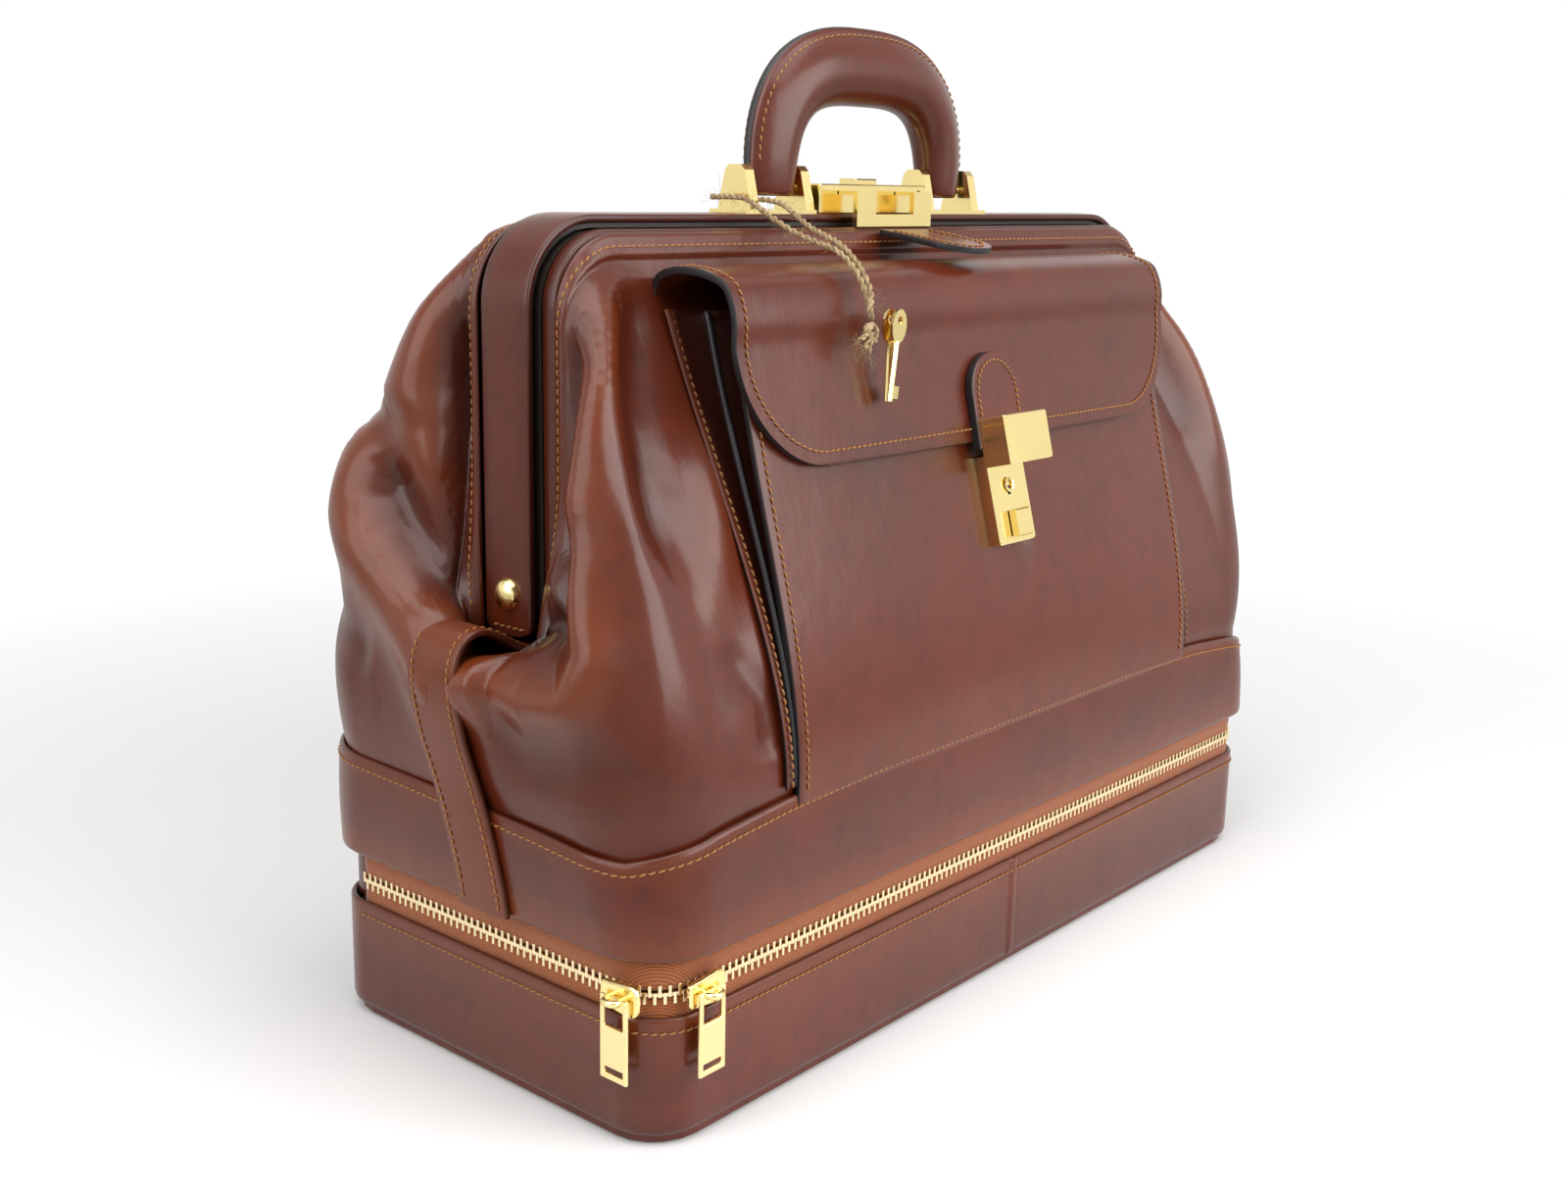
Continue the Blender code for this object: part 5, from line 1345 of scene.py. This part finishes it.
def make_straps():
    half, thick = 0.0125, 0.0024
    for hand, label in ((-1, "left"), (1, "right")):
        line = strap_line()
        along = unit(np.gradient(line, axis=0))
        out = np.column_stack([along[:, 2], np.zeros(len(line)), -along[:, 0]])
        shape = soft_section(-half, half, 0.0, thick, 0.0009, 0.0003)
        middle = [strap_middle(p[2], i / len(line)) for i, p in enumerate(line)]
        rows = [[((p + o * b)[0] * hand, y + m, (p + o * b)[2]) for y, b in shape]
                for p, o, m in zip(line, out, middle)]
        points = np.array(rows)
        faces = swept_faces(*points.shape[:2])
        obj = piece("strap_%s_skin" % label, points.reshape(-1, 3), faces, LEATHER_TRIM, sharp=0)
        fix_normals(obj)
        y = points[:, :, 1] - np.array(middle)[:, None]
        tones(obj, 0.5 * ease(np.abs(y), half - 0.0010, half), 0.25)
        rise = ease(points[:, :, 2], 0.110, 0.158)
        blended(obj, "main_body", "end_folds", rise, "leather", "end_strap_" + label, "end_fold_" + label)
        for side, name in ((-1, "front"), (1, "back")):
            path = np.array([((p + o * (thick + 0.0001))[0] * hand, side * (half - 0.0032) + m, (p + o * thick)[2])
                             for p, o, m in zip(line, out, middle)])[2:-8]
            normals = (out * (hand, 1, 1))[2:-8]
            seam, shares = stitches("strap_%s_%s_stitches" % (label, name), path, normals,
                                    ease(path[:, 2], 0.110, 0.158))
            blended(seam, "main_body", "end_folds", shares, "leather")


make_straps()


PULL_AXIS_OUT = 0.0046  # from the zip's wall to the axis that a pull swings on


def make_slider(label, centre, along, out):
    """A slider with a smooth bridge, and its pull: a plate with a window at its top and a slot at its foot."""
    centre, along, out, up = (np.array(v, float) for v in (centre, along, out, (0, 0, 1)))

    def place(a, b, c):
        return centre + along * a + up * b + out * c

    half = ((-0.0086, 0.0), (-0.0080, 0.0040), (-0.0035, 0.0047), (0.0015, 0.0053), (0.0058, 0.0057),
            (0.0082, 0.0038), (0.0088, 0.0))
    upper = smooth_line([(a, b, 0) for a, b in half], 0.0008)
    outline = [tuple(p[:2]) for p in upper] + [(p[0], -p[1]) for p in upper[1:-1][::-1]]
    body = plate("slider_%s_body" % label, outline, place, 0.0006, 0.0030, BRASS, edge=0)
    put(bevel(body, 0.0008, 3), "slider_" + label, "brass", "zip_slider_" + label)
    arc = ((-0.0027, 0.0022), (-0.0027, 0.0052), (-0.0019, 0.0072), (0.0, 0.0078), (0.0019, 0.0072), (0.0027, 0.0052),
           (0.0027, 0.0022))
    bridge = tube(smooth_line([tuple(place(a, 0, c)) for a, c in arc], 0.0006), 0.0013, 12)
    put(piece("slider_%s_bridge" % label, *bridge, BRASS), "slider_" + label, "brass")
    columns = (-0.0062, -0.0044, 0.0044, 0.0062)
    levels = (-0.0290, -0.0268, -0.0246, -0.0100, -0.0011, 0.0011)
    points = [place(a, b, PULL_AXIS_OUT) for b in levels for a in columns]
    faces = [(4 * j + i, 4 * j + i + 1, 4 * j + i + 5, 4 * j + i + 4) for j in range(5) for i in range(3)
             if (i, j) not in ((1, 1), (1, 3))]
    pull = solidify(piece("pull_%s_plate" % label, points, faces, SATIN, smooth=False), 0.0013, offset=0)
    put(bevel(pull, 0.0004, 2), "pull_" + label, "brass", "zip_pull_" + label)


def make_sliders():
    make_slider("left", (-HALF_LENGTH, -0.0735, ZIP_Z), (0, -1, 0), (-1, 0, 0))
    make_slider("right", (-0.1880, -HALF_DEPTH, ZIP_Z), (1, 0, 0), (0, -1, 0))
    for number in (1, 2):
        dress("key_%d" % number, BRASS, 0.0002)


make_sliders()


# ---- Light and surroundings ----------------------------------------------------------------------
def make_world():
    """White to the camera, dim to matt surfaces, banded to polished ones: bright sides and top, darker floor."""
    world = bpy.data.worlds.new("studio")
    scene.world = world
    world.use_nodes = True
    tree = world.node_tree
    tree.nodes.clear()

    def node(kind, **values):
        made = tree.nodes.new(kind)
        for key, value in values.items():
            made.inputs[key].default_value = value
        return made

    output, path = node("ShaderNodeOutputWorld"), node("ShaderNodeLightPath")
    white = node("ShaderNodeBackground", Color=(1, 1, 1, 1))
    soft = node("ShaderNodeBackground", Color=(1.0, 0.985, 0.97, 1), Strength=0.14)
    shine = node("ShaderNodeBackground", Strength=1.0)
    place = node("ShaderNodeTexCoord")
    split = node("ShaderNodeSeparateXYZ")
    ramp = node("ShaderNodeValToRGB")
    stops = ((0.0, 0.50), (0.42, 0.62), (0.50, 0.90), (0.62, 1.0), (0.78, 0.55), (1.0, 1.0))
    for _ in range(len(stops) - 2):
        ramp.color_ramp.elements.new(0.5)
    for element, (at, value) in zip(ramp.color_ramp.elements, stops):
        element.position, element.color = at, (value, value * 0.99, value * 0.97, 1)
    lift = node("ShaderNodeMapRange")
    lift.inputs["From Min"].default_value = -1.0
    tree.links.new(place.outputs["Generated"], split.inputs[0])
    tree.links.new(split.outputs["Z"], lift.inputs["Value"])
    tree.links.new(lift.outputs["Result"], ramp.inputs["Fac"])
    tree.links.new(ramp.outputs["Color"], shine.inputs["Color"])
    glossy, seen = node("ShaderNodeMixShader"), node("ShaderNodeMixShader")
    tree.links.new(path.outputs["Is Glossy Ray"], glossy.inputs[0])
    tree.links.new(soft.outputs[0], glossy.inputs[1])
    tree.links.new(shine.outputs[0], glossy.inputs[2])
    tree.links.new(path.outputs["Is Camera Ray"], seen.inputs[0])
    tree.links.new(glossy.outputs[0], seen.inputs[1])
    tree.links.new(white.outputs[0], seen.inputs[2])
    tree.links.new(seen.outputs[0], output.inputs["Surface"])


def area_light(name, place, target, size, power, colour=(1, 1, 1)):
    data = bpy.data.lights.new(name, "AREA")
    data.shape, data.size, data.size_y, data.energy, data.color = "RECTANGLE", size[0], size[1], power, colour
    light = bpy.data.objects.new(name, data)
    light.location = place
    light.rotation_euler = (Vector(target) - Vector(place)).to_track_quat("-Z", "Y").to_euler()
    light.visible_camera = False
    scene.collection.objects.link(light)


def make_floor():
    """A pale round floor that fades out, so that it has no horizon."""
    shader = Shader("pale_floor", (0.93, 0.93, 0.93), 0.9)
    length = shader.node("ShaderNodeVectorMath", operation="LENGTH")
    shader.link(shader.node("ShaderNodeTexCoord").outputs["Object"], length.inputs[0])
    shader.link(shader.span(length.outputs["Value"], 0.30, 0.75, 1.0, 0.0), shader.principled.inputs["Alpha"])
    ring = [(0.75 * math.cos(a), 0.75 * math.sin(a), -0.001) for a in np.linspace(0, 2 * math.pi, 65)[:-1]]
    piece("floor", ring, [tuple(range(64))], shader.material)


make_world()
make_floor()
area_light("softbox_left", (-1.30, 0.10, 0.85), (0, 0, 0.16), (1.3, 1.3), 12)
area_light("softbox_front", (0.35, -1.35, 0.75), (0, 0, 0.18), (1.5, 1.1), 21)
area_light("softbox_top", (-0.2, -0.2, 1.5), (0, 0, 0.2), (1.6, 1.2), 16)

scene.view_settings.view_transform = "Standard"
scene.view_settings.look = "None"
scene.view_settings.exposure = 0.0
